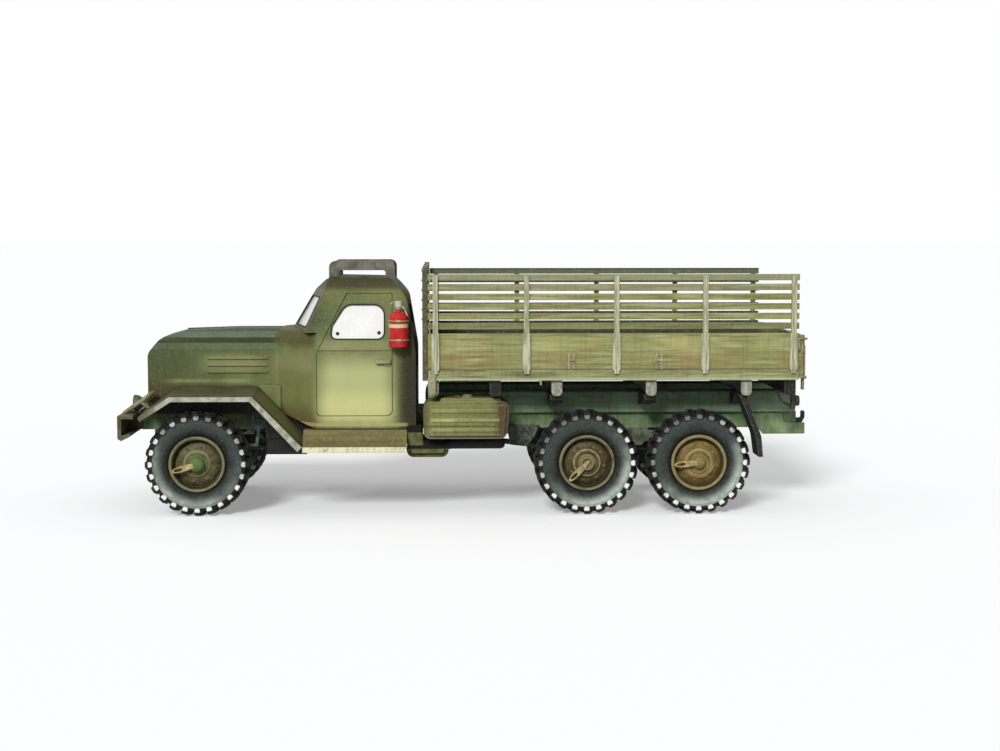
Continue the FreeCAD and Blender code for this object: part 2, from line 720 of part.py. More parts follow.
# foot and head of the windscreen: x behind the front axle at the middle and at the corner, z
screen_foot = (door_front - 8.9, door_front - 3.3, frame_foot - 1.9)
screen_head = (door_front + 1.2, door_front + 4.2, roof_top + 0.7)


def screen_cutter(back):
    """Everything ahead of the two slanted screen planes, moved back by a distance."""
    wires = []
    for middle, corner, z in (screen_foot, screen_head):
        x0, x1 = cab_start - 10, front_x + corner + back + 1.6
        points = [(x0, -cab_clear), (x1, -cab_clear), (front_x + middle + back, 0),
                  (x1, cab_clear), (x0, cab_clear)]
        wires.append(outline(points, lambda a, b: V(a, b, z)))
    return Part.makeLoft(wires, True, True)


def cab_outer_solid():
    """The cab's outer form, filled."""
    return prism_y(shifted(CAB_LINE, front_x), -cab_clear, cab_clear).common(
        prism_x(cab_section(0.0, cab_bottom), cab_start, cab_end)).cut(screen_cutter(0.0))


def cab_shell():
    inner = prism_y(shifted(CAB_INNER, front_x), -cab_clear, cab_clear).common(
        prism_x(cab_section(skin, cab_bottom - 1), cab_start, cab_end))
    shell = cab_outer_solid().cut(inner.cut(screen_cutter(skin * 1.3)))
    # door windows, screen halves and rear window
    head = roof_split - 0.25 * glass_zone
    tall = head - sill_height
    corner, rear = sill_height + 0.38 * tall, door_rear - 2.2
    glass = [(door_edge_at(sill_height) + 1.9, sill_height, 0.16 * tall),
             (door_edge_at(corner) + 0.6, corner, 0.16 * tall),
             (door_edge_at(head) + 1.3, head, 0.34 * tall), (rear, head, 0.32 * tall),
             (rear, sill_height, 0.2 * tall)]
    side = prism_y(shifted(glass, front_x), -cab_clear, cab_clear)
    tall = roof_split - frame_foot
    low, high = frame_foot + 0.06 * tall, roof_split - 0.12 * tall
    screens = [prism_x([(s * 1.3, low, 0.06 * tall), (s * 1.3, high, 0.06 * tall),
                        (s * (roof_half - 3.0), high, 0.12 * tall),
                        (s * (cab_half - 4.6), low, 0.12 * tall)],
                       cab_start - 5, front_x + door_front + 5.8) for _, s in SIDES]
    low, high = sill_height + 0.19 * glass_zone, roof_split - 0.29 * glass_zone
    round_by = 0.1 * glass_zone
    rear = prism_x([(-8, low, round_by), (-8, high, round_by), (8, high, round_by),
                    (8, low, round_by)], front_x + door_rear + 1, cab_end)
    return shell.cut(Part.makeCompound([side] + screens + [rear]))


# upper front edge of the door, (x, z) behind the front axle
DOOR_EDGE = ((door_front, pillar_foot), (door_front + 8.3, roof_split))


def door_edge_at(z):
    """How far behind the front axle the slanted front edge of the door is at a height."""
    (x0, z0), (x1, z1) = DOOR_EDGE
    return x0 + (x1 - x0) * (z - z0) / (z1 - z0)


def door_solid(inset):
    """Block through the left side with the door's outline, drawn inwards by inset."""
    (x0, z0), (x1, z1) = DOOR_EDGE
    rear = door_rear - inset
    points = [(x0 + inset, door_bottom + inset, 1.0), (x0 + inset, z0), (x1 + inset, z1 - inset),
              (rear, z1 - inset), (rear, door_bottom + inset, 1.6)]
    return prism_y(shifted(points, front_x), -cab_clear, -rail_half)


def cab_panels():
    """The cab's roof, rear wall with sills, doors and screen frame, split as real panels."""
    shell = cab_shell()
    wide, x_front, x_rear = cab_clear, front_x + door_front, front_x + door_rear
    roof = shell.common(box(cab_start, cab_end, -wide, wide, roof_split, roof_top + 5))
    sill = joined([box(x_front, x_rear, -wide, -rail_half, cab_bottom, door_bottom + 1.6),
                   box(x_rear - 1, cab_end, -wide, -rail_half - 0.3, cab_bottom, rail_top)])
    sill = shell.common(sill).cut(door_solid(0.0))
    wall = shell.common(box(x_rear, cab_end, -wide, wide, rail_top, roof_split))
    back = Part.makeCompound([wall.Solids[0], sill.Solids[0], mirrored(sill.Solids[0])])
    belt = prism_x([(-cab_half - 0.25, belt_height + 0.3, 0.2),
                    (-cab_half - 0.2, belt_height + 0.9, 0.2),
                    (-cab_half + 0.9, belt_height + 1.1), (-cab_half + 0.7, belt_height)],
                   x_front + 0.6, x_rear - 0.6)
    handle = box(x_rear - 4.2, x_rear - 0.8, -cab_half - 0.7, -cab_half + 0.3,
                 belt_height - 3.2, belt_height - 2.4)
    door = joined([shell.common(door_solid(door_gap)), belt, handle])
    foot, ahead = frame_foot - 0.8, cab_start - front_x
    frame_shape = [(ahead, foot), (ahead, roof_split), DOOR_EDGE[1], DOOR_EDGE[0],
                   (door_front, foot)]
    frame = shell.common(prism_y(shifted(frame_shape, front_x), -wide, wide)).cut(cowl_body(0.05))
    return roof, back, both(door), frame


def cab_floor():
    """Flat floor on the rails with a sloping toe board up to the bulkhead."""
    half = cab_half - skin - 0.1
    x0 = front_x + door_front
    flat = box(x0, front_x + cab_rear - skin - 0.1, -half, half, rail_top, rail_top + skin)
    toe_x = cowl_x + skin + 0.3
    slope = [(x0 + 1, rail_top), (x0 + 1, rail_top + skin), (x0 - 2.0, rail_top + skin),
             (toe_x, 37.0), (toe_x, 35.8), (x0 - 2.4, rail_top)]
    toe = prism_y(slope, -rail_half + 0.4, rail_half - 0.4)
    return joined([flat, toe])


def seats():
    """Bench with a sloping back."""
    x0, x1 = front_x + seat_front, front_x + cab_rear - seat_rear_gap
    low = rail_top + skin + fit
    bench = [(x0, low), (x0, seat_height, 1.5), (x1 - 4.0, seat_height - 1.0, 1.0),
             (x1 - 2.5, seat_back_top, 1.0), (x1, seat_back_top, 1.0), (x1, low)]
    return prism_y(bench, -seat_half, seat_half)


def steering_wheel():
    hub = V(front_x + seat_front - 4.5, -wheel_y, seat_height + 9.0)
    lean = V(0.62, 0, 0.78)
    ring = Part.makeTorus(wheel_ring, 0.45, hub, lean)
    foot = V(cowl_x + 5.1, -wheel_y, rail_top + 6.6)
    column = rod(foot, hub, 0.55)
    spokes = [rod(hub, hub.add(V(0, wheel_ring * s, 0)), 0.35) for s in (-1, 1)]
    return joined([ring, column] + spokes)


def roof_rack():
    """Two thick side hoops with cross bars, on the roof."""
    x0, x1 = front_x + roof_front - 0.1, front_x + cab_rear - 6.0
    base, inner_top = roof_top - 2.6, rack_top - rack_bar
    hoop = [(x0, base), (x0, rack_top, 1.8), (x1, rack_top, 1.8), (x1, base)]
    hole = [(x0 + rack_bar, base - 1), (x0 + rack_bar, inner_top, 0.7),
            (x1 - rack_bar, inner_top, 0.7), (x1 - rack_bar, base - 1)]
    y0, y1 = -rack_half - 0.8, -rack_half + 0.8
    side = prism_y(hoop, y0, y1).cut(prism_y(hole, y0 - 1, y1 + 1))
    bars = [box(x - 0.6, x + 0.6, -rack_half, rack_half, inner_top + 0.5, rack_top - 0.7)
            for x in (x0 + 1.4, (x0 + x1) / 2, x1 - 1.4)]
    return joined([side, mirrored(side)] + bars).cut(cab_outer_solid())


def fire_extinguisher():
    """Upright bottle clipped to the cab's rear corner."""
    radius = 2.65
    x, y, z = front_x + door_rear + 1.8, -cab_half - radius - 0.25, belt_height + 1.4
    # columns: radius, height above the foot
    section = ((0.0, 0.0), (radius - 0.25, 0.0), (radius, 0.3), (radius, 8.4), (1.9, 9.4),
               (0.7, 9.7), (0.7, 10.8), (1.0, 10.9), (1.0, 12.6), (0.0, 12.6))
    points = [V(x + r, y, z + h) for r, h in section]
    bottle = Part.Face(Part.makePolygon(points + [points[0]])).revolve(V(x, y, z), Z_AXIS, 360)
    clips = [box(x - 1.0, x + 1.0, y + 1.0, -cab_half + 2.0, z + h, z + h + 1.2)
             for h in (1.4, 6.6)]
    return joined([bottle] + clips).cut(cab_outer_solid())


# ---------------------------------------------------------------- tanks and exhaust
def fuel_tanks():
    """Ribbed tank on each side, hung from the rail by two straps' brackets."""
    x0, x1 = front_x + tank_front, front_x + tank_front + tank_length
    y0, y1, low, high = -tank_out, -tank_in, tank_bottom, tank_top
    section = [(y0, low, 1.6), (y0, high - 0.6, 1.8), (y1, high, 1.6), (y1, low - 0.6, 1.6)]
    body = prism_x(section, x0, x1)
    ribs = [prism_x([(y0 - 0.5, z, 0.2), (y0 - 0.5, z + 1.3, 0.2), (y0 + 1.4, z + 1.3),
                     (y0 + 1.4, z)], x0 + 1.5, x1 - 1.5) for z in (low + 1.4, low + 4, low + 6.6)]
    lid = prism_x([(y0 + 1.6, high - 1.0), (y0 + 1.6, high + 0.7, 0.5),
                   (y1 - 1.8, high + 0.7, 0.5), (y1 - 1.8, high - 1.0)], x0 + 5.5, x1 - 6.2)
    middle, y = (x0 + x1) / 2 + 0.75, y0 + 4.4
    cap = rod(V(middle, y, high), V(middle, y, high + 1.4), 1.3)
    brackets = [box(x, x + 1.6, y1 - 0.5, -rail_half, rail_bottom + 1.4, rail_top - 1.2)
                for x in (x0 + 3, x1 - 4.6)]
    return both(joined([body, lid, cap] + ribs + brackets))


def silencer():
    """Oval silencer below the left rail behind the cab, with its bracket and tail pipe."""
    x0, low, high = front_x + silencer_front, silencer_bottom, silencer_top
    y0, y1, round_by = -silencer_out, -silencer_in, (high - low) / 2 - 0.1
    oval = prism_x([(y0, low, round_by), (y0, high, round_by), (y1, high, round_by),
                    (y1, low, round_by)], x0, x0 + silencer_length)
    end = -rail_half + 1.0
    hanger = prism_x([(y1 - 2.1, high - 1.4), (y1 - 2.1, high + 1.0), (y1 + 1.7, high + 1.0),
                      (-rail_half - 2.0, rail_bottom), (end, rail_bottom), (end, high + 0.8),
                      (y1 + 2.5, high - 0.8)], x0 + 4.6, x0 + 6.0)
    return joined([oval, hanger])


# ---------------------------------------------------------------- cargo bed
# places behind the front axle
STAKES = [bed_front + u for u in (3.5, 28.0, 52.3, 76.3, 100.3)]
flap_beam = wheelbase + bogie_spacing + 12.4         # the mudflaps hang from it
CROSS_BEAMS = [bed_front + u for u in (2.9, 19.6, 36.3, 61.9)] + [flap_beam, bed_rear - 3.7]
# columns: place of a cross-beam, reach of its gussets across the vehicle
GUSSETS = ((CROSS_BEAMS[2], 29.3), (CROSS_BEAMS[3], 29.3), (flap_beam, 20.3))
sub_half = 13.8
sub_width = 2.6


def bed_subframe():
    """Two long bearers on the chassis rails, cross-beams on them, and gussets under three."""
    x0, x1 = front_x + bed_front + 1.3, rail_end - 1.5
    bearer = box(x0, x1, -sub_half, -sub_half + sub_width, rail_top, beam_top)
    pieces = [bearer, mirrored(bearer)]
    half = 1.45
    for u in CROSS_BEAMS:
        x = front_x + u
        pieces.append(prism_y([(x - half, beam_top, 1.1), (x - half, floor_bottom),
                               (x + half, floor_bottom), (x + half, beam_top, 1.1)],
                              -bed_half + 1.0, bed_half - 1.0))
    for u, reach in GUSSETS:
        x = front_x + u
        gusset = prism_x([(-sub_half, beam_top), (-sub_half, beam_top - 4.1),
                          (-reach + 2.0, beam_top - 2.4), (-reach, beam_top - 1.2),
                          (-reach, beam_top)], x - half - 0.2, x + half + 0.2)
        pieces += [gusset, mirrored(gusset)]
    return Part.makeCompound(pieces)


def bed_floor():
    """Boarded floor, a little below the edge beam along each side."""
    x0, x1 = front_x + bed_front + 1.5, front_x + bed_rear - 1.6
    half = bed_half - board_thick - 0.1
    deck = box(x0, x1, -half, half, floor_bottom, deck_top)
    edge = box(x0, x1, -bed_half - 0.2, -half, floor_bottom, floor_top)
    return joined([deck, edge, mirrored(edge)])


def bed_sides():
    """Solid lower board, spaced slats above, and five stakes outside."""
    x0, x1 = front_x + bed_front + 1.5, front_x + bed_rear - 1.6
    y_out, y_in = -bed_half, -bed_half + board_thick
    pieces = [box(x0, x1, y_out, y_in, floor_top, floor_top + board_height)]
    for i in range(slat_count):
        top = side_top - i * slat_pitch
        pieces.append(box(x0, x1, y_out, y_in, top - slat_height, top))
    for u in STAKES:
        x = front_x + u
        pieces.append(box(x - 0.7, x + 0.7, y_out - stake_out, y_out + 0.3, floor_top - 1.0,
                          side_top - 0.4))
        pieces.append(box(x - 1.05, x + 1.05, y_out - stake_out, y_out + 0.2, floor_top,
                          floor_top + board_height))
    return both(joined(pieces).cut(box(x0 - 1, x1 + 1, -bed_half - 0.25, -20, 30, floor_top)))


def headboard():
    x0 = front_x + bed_front
    x1 = x0 + 1.4
    half = bed_half
    low = box(x0 + 0.3, x1, -half, half, floor_bottom, floor_top + board_height)
    slats = [box(x0 + 0.3, x1, -half, half, headboard_top - i * slat_pitch - slat_height,
                 headboard_top - i * slat_pitch) for i in range(slat_count)]
    posts = [box(x0, x1, y - 0.8, y + 0.8, floor_bottom, headboard_top)
             for y in (-half + 0.8, -half / 3, half / 3, half - 0.8)]
    return joined([low] + slats + posts)


def tailgate():
    x0, x1 = front_x + bed_rear - 1.5, front_x + bed_rear - 0.3
    half = bed_half - 0.2
    gate = box(x0, x1, -half, half, floor_bottom + 0.4, floor_top + board_height - 0.6)
    ribs = [box(x1 - 0.1, x1 + 0.5, y - 0.9, y + 0.9, floor_bottom - 2.8,
                floor_top + board_height - 0.6)
            for y in (-half + 2, -half / 3, half / 3, half - 2)]
    return joined([gate] + ribs)


def mudflaps():
    """Curved guard behind each rear wheel, hung from the cross-beam."""
    x, low = front_x + flap_beam, flap_bottom
    flap = [(x - 1.5, beam_top), (x + 1.1, low + 10.5, 8.0), (x + 3.0, low + 5.7, 8.0),
            (x + 3.8, low), (x + 5.0, low), (x + 4.5, low + 5.7, 8.0),
            (x + 2.6, low + 10.5, 8.0), (x + 0.5, beam_top)]
    return both(prism_y(flap, -flap_out, -flap_in))


# ---------------------------------------------------------------- all pieces
def build():
    os.makedirs("parts", exist_ok=True)
    wheels()
    knuckle = steering_knuckle()
    save("steering_knuckle_left", knuckle)
    save("steering_knuckle_right", mirrored(knuckle))
    save("tie_rod", tie_rod())
    save("front_axle", front_axle())
    save("mid_axle", driven_axle(mid_x, -1))
    save("rear_axle", driven_axle(rear_x, -1))
    save("leaf_springs", leaf_springs())
    save("propeller_shafts", propeller_shafts())
    save("transfer_case", transfer_case())
    save("chassis_frame", chassis_frame())
    save("tow_hooks", tow_hooks())
    save("front_bumper", front_bumper())
    save("lamp_guards", lamp_guards())
    save("headlamps", headlamps())
    save("radiator_grille", radiator_grille())
    save("hood_top", hood_top())
    save("hood_sides", hood_sides())
    save("engine_block", engine_block())
    save("cowl", cowl())
    save("front_wings", front_wings())
    save("running_boards", running_boards())
    roof, back, doors, frame = cab_panels()
    save("cab_roof", roof)
    save("cab_rear_wall", back)
    save("doors", doors)
    save("windscreen_frame", frame)
    save("cab_floor", cab_floor())
    save("seats", seats())
    save("steering_wheel", steering_wheel())
    save("roof_rack", roof_rack())
    save("fire_extinguisher", fire_extinguisher())
    save("fuel_tanks", fuel_tanks())
    save("silencer", silencer())
    save("bed_subframe", bed_subframe())
    save("bed_floor", bed_floor())
    save("bed_sides", bed_sides())
    save("headboard", headboard())
    save("tailgate", tailgate())
    save("mudflaps", mudflaps())


build()
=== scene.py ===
# %% [markdown]
# # A weathered display model of a six-wheeled army lorry
# The solids of the lorry come from a packed CAD model, which stays as it is. This script dresses
# them: it adds the camera and lamps, paints every part with node materials, and makes the parts
# whose shape is finer than the solids, such as tyres, rims, window panes, bolts and straps.

# %% Load the frame
import bmesh
import bpy
import math
import numpy as np
from mathutils import Matrix, Vector


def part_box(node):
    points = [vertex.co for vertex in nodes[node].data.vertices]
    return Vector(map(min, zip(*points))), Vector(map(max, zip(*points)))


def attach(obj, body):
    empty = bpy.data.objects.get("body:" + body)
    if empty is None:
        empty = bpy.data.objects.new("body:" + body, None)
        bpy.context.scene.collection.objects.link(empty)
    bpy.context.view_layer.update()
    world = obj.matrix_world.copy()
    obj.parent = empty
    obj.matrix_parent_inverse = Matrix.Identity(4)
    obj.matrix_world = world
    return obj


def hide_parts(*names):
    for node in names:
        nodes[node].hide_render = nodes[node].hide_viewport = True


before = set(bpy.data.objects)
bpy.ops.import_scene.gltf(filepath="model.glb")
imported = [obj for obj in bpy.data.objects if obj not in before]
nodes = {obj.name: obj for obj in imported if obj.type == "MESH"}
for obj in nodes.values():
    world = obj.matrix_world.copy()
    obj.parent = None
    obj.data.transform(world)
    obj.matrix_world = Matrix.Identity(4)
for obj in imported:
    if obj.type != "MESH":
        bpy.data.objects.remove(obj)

MM = 0.001
LEAD = sum(corner.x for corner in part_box("tyre_front_left")) / 2 / MM
scene = bpy.context.scene
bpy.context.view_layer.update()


def box_of(name):
    """Low and high corner of a CAD part in mm, with x measured from the front axle."""
    return [corner / MM - Vector((LEAD, 0, 0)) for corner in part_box(name)]


def linked(name, data):
    """A new object that is part of the scene."""
    made = bpy.data.objects.new(name, data)
    scene.collection.objects.link(made)
    return made


def empty_tree(holder):
    """The cleared node tree of a material or of a world."""
    holder.use_nodes = True
    holder.node_tree.nodes.clear()
    return holder.node_tree


def add_node(tree, kind, values=None, out=0, **settings):
    """Adds a node whose inputs get a link or a plain value, and returns one of its outputs."""
    made = tree.nodes.new(kind)
    for key, value in settings.items():
        setattr(made, key, value)
    for key, value in (values or {}).items():
        if isinstance(value, bpy.types.NodeSocket):
            tree.links.new(value, made.inputs[key])
        else:
            made.inputs[key].default_value = value
    return made.outputs[out] if made.outputs else None


print("front axle at x", round(LEAD, 2))

# %% [markdown]
# ## Where the camera stands
# The lorry is seen from its left side, from about headboard height and half a metre away. That is
# near for something 19 cm long, so its far side looks smaller and shows above the near one. The
# lens has to be long enough to fill the picture from there without more stretching.

# %% Camera
LENS, TILT, TURN = 64.1, 4.95, 1.77  # millimetres, degrees down, degrees to the right
camera = linked("camera", bpy.data.cameras.new("camera"))
scene.camera = camera
camera.data.lens = LENS
camera.data.clip_start, camera.data.clip_end = 0.01, 50
camera.location = Vector((-6.55, -510, 80)) * MM
camera.rotation_euler = (math.radians(90 - TILT), 0, math.radians(-TURN))
print("lens", LENS, "mm at", [round(v / MM, 1) for v in camera.location])

# %% [markdown]
# ## Light and ground
# A model is shown on white paper under soft light. One large sun gives soft shadows and lights
# every place alike, and the world fills in the rest. The paper shows plain white to the camera, in
# glass and in gloss, but it throws back less light on to the model than white paper would, so the
# space under the bed stays dark.

# %% Sun, world and paper
SUN_ENERGY, SUN_SIZE, SUN_TURN = 2.38, 15, (60, -6, -13)  # the last two in degrees
FILL, WHITE = 0.4, 1
FLOOR_HALF = 6

sun = linked("sun", bpy.data.lights.new("sun", "SUN"))
sun.data.energy = SUN_ENERGY
sun.data.angle = math.radians(SUN_SIZE)
sun.rotation_euler = [math.radians(turn) for turn in SUN_TURN]


def seen_directly(tree):
    """1 for what the camera, a reflection or a pane looks at, 0 for light on its way."""
    total = 0
    for ray in ("Is Camera Ray", "Is Glossy Ray", "Is Transmission Ray"):
        total = add_node(tree, "ShaderNodeMath",
                         {0: total, 1: add_node(tree, "ShaderNodeLightPath", out=ray)},
                         operation="MAXIMUM")
    return total


world = bpy.data.worlds.new("studio")
scene.world = world
sky = empty_tree(world)
level = add_node(sky, "ShaderNodeMapRange",
                 {"Value": seen_directly(sky), "To Min": FILL, "To Max": WHITE})
shine = add_node(sky, "ShaderNodeBackground", {"Color": (1, 1, 1, 1), "Strength": level})
add_node(sky, "ShaderNodeOutputWorld", {0: shine})

paper = bpy.data.materials.new("white_paper")
tree = empty_tree(paper)
seen = add_node(tree, "ShaderNodeBsdfDiffuse", {"Color": (0.96, 0.965, 0.98, 1)})
lift = add_node(tree, "ShaderNodeEmission", {"Strength": 0.24})
both = add_node(tree, "ShaderNodeAddShader", {0: seen, 1: lift})
bounce = add_node(tree, "ShaderNodeBsdfDiffuse", {"Color": (0.34, 0.34, 0.34, 1)})
choose = add_node(tree, "ShaderNodeMixShader", {0: seen_directly(tree), 1: bounce, 2: both})
add_node(tree, "ShaderNodeOutputMaterial", {0: choose})

ground = bpy.data.meshes.new("floor")
ground.from_pydata([(x * FLOOR_HALF, y * FLOOR_HALF, 0)
                    for x, y in ((-1, -1), (1, -1), (1, 1), (-1, 1))], [], [(0, 1, 2, 3)])
ground.materials.append(paper)
linked("floor", ground)
scene.view_settings.view_transform = "Standard"
print("fill light", FILL, "sun", SUN_ENERGY)

# %% [markdown]
# ## How a paint is put together
# A model maker sprays a base coat, fades the middle of large panels with a lighter one, runs a
# dark wash into every corner and brushes edges pale; here painted shade goes into the corners
# along with that wash. Each of these steps becomes a few nodes, so a small class keeps the node
# tree of one paint and adds one step per call. All patterns read the object's own coordinates, in
# millimetres, so they stay on the part when it moves.

# %% A class that builds one paint
def tone(colour):
    """Turns a screen's (red, green, blue) from 0 to 255 linear. A socket stays as it is."""
    if not isinstance(colour, tuple):
        return colour
    shares = [value / 255 for value in colour]
    return tuple(v / 12.92 if v <= 0.04045 else ((v + 0.055) / 1.055) ** 2.4
                 for v in shares) + (1,)


class Paint:
    """The node tree of one material, and the colour that its steps have reached so far."""

    def __init__(self, name):
        self.material = bpy.data.materials.new(name)
        self.tree = empty_tree(self.material)
        place = self.node("ShaderNodeTexCoord", out="Object")
        self.place = self.node("ShaderNodeVectorMath", {0: place, "Scale": 1 / MM},
                               operation="SCALE")
        self.measures = {axis.lower(): self.node("ShaderNodeSeparateXYZ", {0: self.place},
                                                 out=axis) for axis in "XYZ"}

    def node(self, kind, values=None, out=0, **settings):
        return add_node(self.tree, kind, values, out, **settings)

    def math(self, operation, a, b=0):
        return self.node("ShaderNodeMath", {0: a, 1: b}, operation=operation)

    def measure(self, name):
        """x, y or z in mm, side for the distance from the lorry's middle, or an attribute."""
        if name not in self.measures:
            self.measures[name] = (
                self.math("ABSOLUTE", self.measures["y"]) if name == "side" else
                self.node("ShaderNodeAttribute", out="Fac", attribute_name=name))
        return self.measures[name]

    def band(self, value, low, high, bottom=0, top=1):
        """Rises smoothly from bottom to top while the value goes from low to high."""
        return self.node("ShaderNodeMapRange", {0: value, 1: low, 2: high, 3: bottom, 4: top},
                         interpolation_type="SMOOTHSTEP")

    def clouds(self, size, detail=3, soft=0.2, middle=0.5, grain=(1, 1, 1)):
        """Noise between 0 and 1 whose blots are about size mm across, stretched by grain."""
        stretched = self.node("ShaderNodeMapping", {"Vector": self.place, "Scale": grain})
        raw = self.node("ShaderNodeTexNoise",
                        {"Vector": stretched, "Scale": 1 / size, "Detail": detail})
        return self.band(raw, middle - soft, middle + soft)

    def mask(self, *masks, noise=(), **spans):
        """Masks, noise as clouds() takes it, and spans of measures, all multiplied. A span is
        (low, high), over which it rises, or (low, high, soft), between which it is 1."""
        masks = list(masks)
        for name, (low, high, *soft) in spans.items():
            value = self.measure(name)
            if soft:
                masks.append(self.band(value, high - soft[0], high + soft[0], 1, 0))
                low, high = low - soft[0], low + soft[0]
            masks.append(self.band(value, low, high))
        if noise:
            masks.append(self.clouds(*noise))
        product = masks[0]
        for mask in masks[1:]:
            product = self.math("MULTIPLY", product, mask)
        return product

    def blend(self, share, under, over):
        return self.node("ShaderNodeMix", {0: share, 6: tone(under), 7: tone(over)}, 2,
                         data_type="RGBA")

    def base(self, share, dark, light):
        """The first coat, between two colours."""
        self.colour = self.blend(share, dark, light)

    def lay(self, over, *masks, **where):
        """Lays a colour over what is there, as far as the mask says."""
        self.colour = self.blend(self.mask(*masks, **where), self.colour, over)

    def corner(self, reach):
        """1 deep in a corner, 0 where nothing stands within reach mm."""
        open_share = self.node("ShaderNodeAmbientOcclusion", {"Distance": reach * MM}, "AO",
                               samples=6)
        return self.math("SUBTRACT", 1, open_share)

    def edge(self, reach):
        """1 along sharp edges, from how far a rounded normal differs from the flat one."""
        rounded = self.node("ShaderNodeBevel", {"Radius": reach * MM}, samples=6)
        flat = self.node("ShaderNodeNewGeometry", out="Normal")
        alike = self.node("ShaderNodeVectorMath", {0: rounded, 1: flat}, "Value",
                          operation="DOT_PRODUCT")
        return self.band(self.math("SUBTRACT", 1, alike), 0.03, 0.2)

    def bump(self, height, depth, **more):
        return self.node("ShaderNodeBump", {"Height": height, "Strength": 1,
                                            "Distance": depth * MM, **more})

    def coat(self, rough, **sockets):
        """Ends the tree with the surface shader, and returns the material."""
        values = {"Base Color": self.colour, "Roughness": rough, "Specular IOR Level": 0.3}
        values.update((key.replace("_", " "), value) for key, value in sockets.items())
        surface = self.node("ShaderNodeBsdfPrincipled", values)
        self.node("ShaderNodeOutputMaterial", {0: surface})
        return self.material


print("a paint's steps:", [name for name in vars(Paint) if not name.startswith("_")])

# %% [markdown]
# ## Weathering that all paints share
# Whatever the base colour, a painted model gets the same treatment: rain streaks, a dark wash that
# settles in corners together with painted shade there, and pale dry brushing on edges. One function
# does this to any colour, so that all parts look as if they had stood in the same weather.

# %% Weathering
# colour of the dark wash, which also paints shade into corners
WASH_AND_SHADE = (34, 29, 16)
WORN_EDGE, ROUND_EDGE = 0.22, 0.25  # reach of the wear and of the rounding, in mm
UPRIGHT, ALONG = (1, 1, 0.1), (0.12, 1, 1)


def weather(p, pale, wash=WASH_AND_SHADE, reach=2.4, depth=0.85, wear=0.6, streaks=0.25,
            rough=(0.5, 0.75), relief=0.03):
    """Streaks, a corner wash with painted shade, edge wear, and a grained surface with rounded
    edges.
    """
    p.lay(wash, streaks, noise=(0.9, 4, 0.12, 0.58, UPRIGHT))
    p.lay(pale, 0.12, noise=(0.7, 3, 0.08, 0.62))
    # dark wash and painted shade, laid deeper where ambient occlusion finds a corner
    p.lay(wash, p.band(p.corner(reach), 0.3, 0.9, 0, depth))
    p.lay(pale, wear, p.edge(WORN_EDGE), noise=(1.6, 3, 0.25, 0.42))
    rounded = p.node("ShaderNodeBevel", {"Radius": ROUND_EDGE * MM}, samples=4)
    grain = p.clouds(0.45, 4, 0.5)
    return p.coat(p.band(grain, 0.2, 0.8, *rough), Normal=p.bump(grain, relief, Normal=rounded))


def plain_paint(name, dark, light, pale, size=5, **more):
    """A two-tone paint with the shared weathering."""
    p = Paint(name)
    p.base(p.clouds(size), dark, light)
    return weather(p, pale, **more)


print("wash", WASH_AND_SHADE, "worn edges of", WORN_EDGE, "mm")

# %% [markdown]
# ## Body paint
# Bonnet, cowl, doors and roof are one olive green. On the real model it is faded almost to straw
# in the middle of the door, where the light falls, and darkens to brown at the cab's rear corner
# and along the seams. Painted shade lies over the brown at the rear corner, on the tops of cowl,
# roof and bonnet's hump, and in a line at the hump's foot, above which a painted highlight runs.
# Places along the lorry steer these changes, in millimetres from its middle.

# %% Olive body paint
BONNET, COWL, DOOR = (-52, -55), (-54, -42, 1.5), (-40.5, -21.5, 3.5)
REAR, CAB, HUMP_FOOT_SHADOW = (-20.6, -16.5), (-53, -17, 0.8), (46.2, 47.4, 0.3)


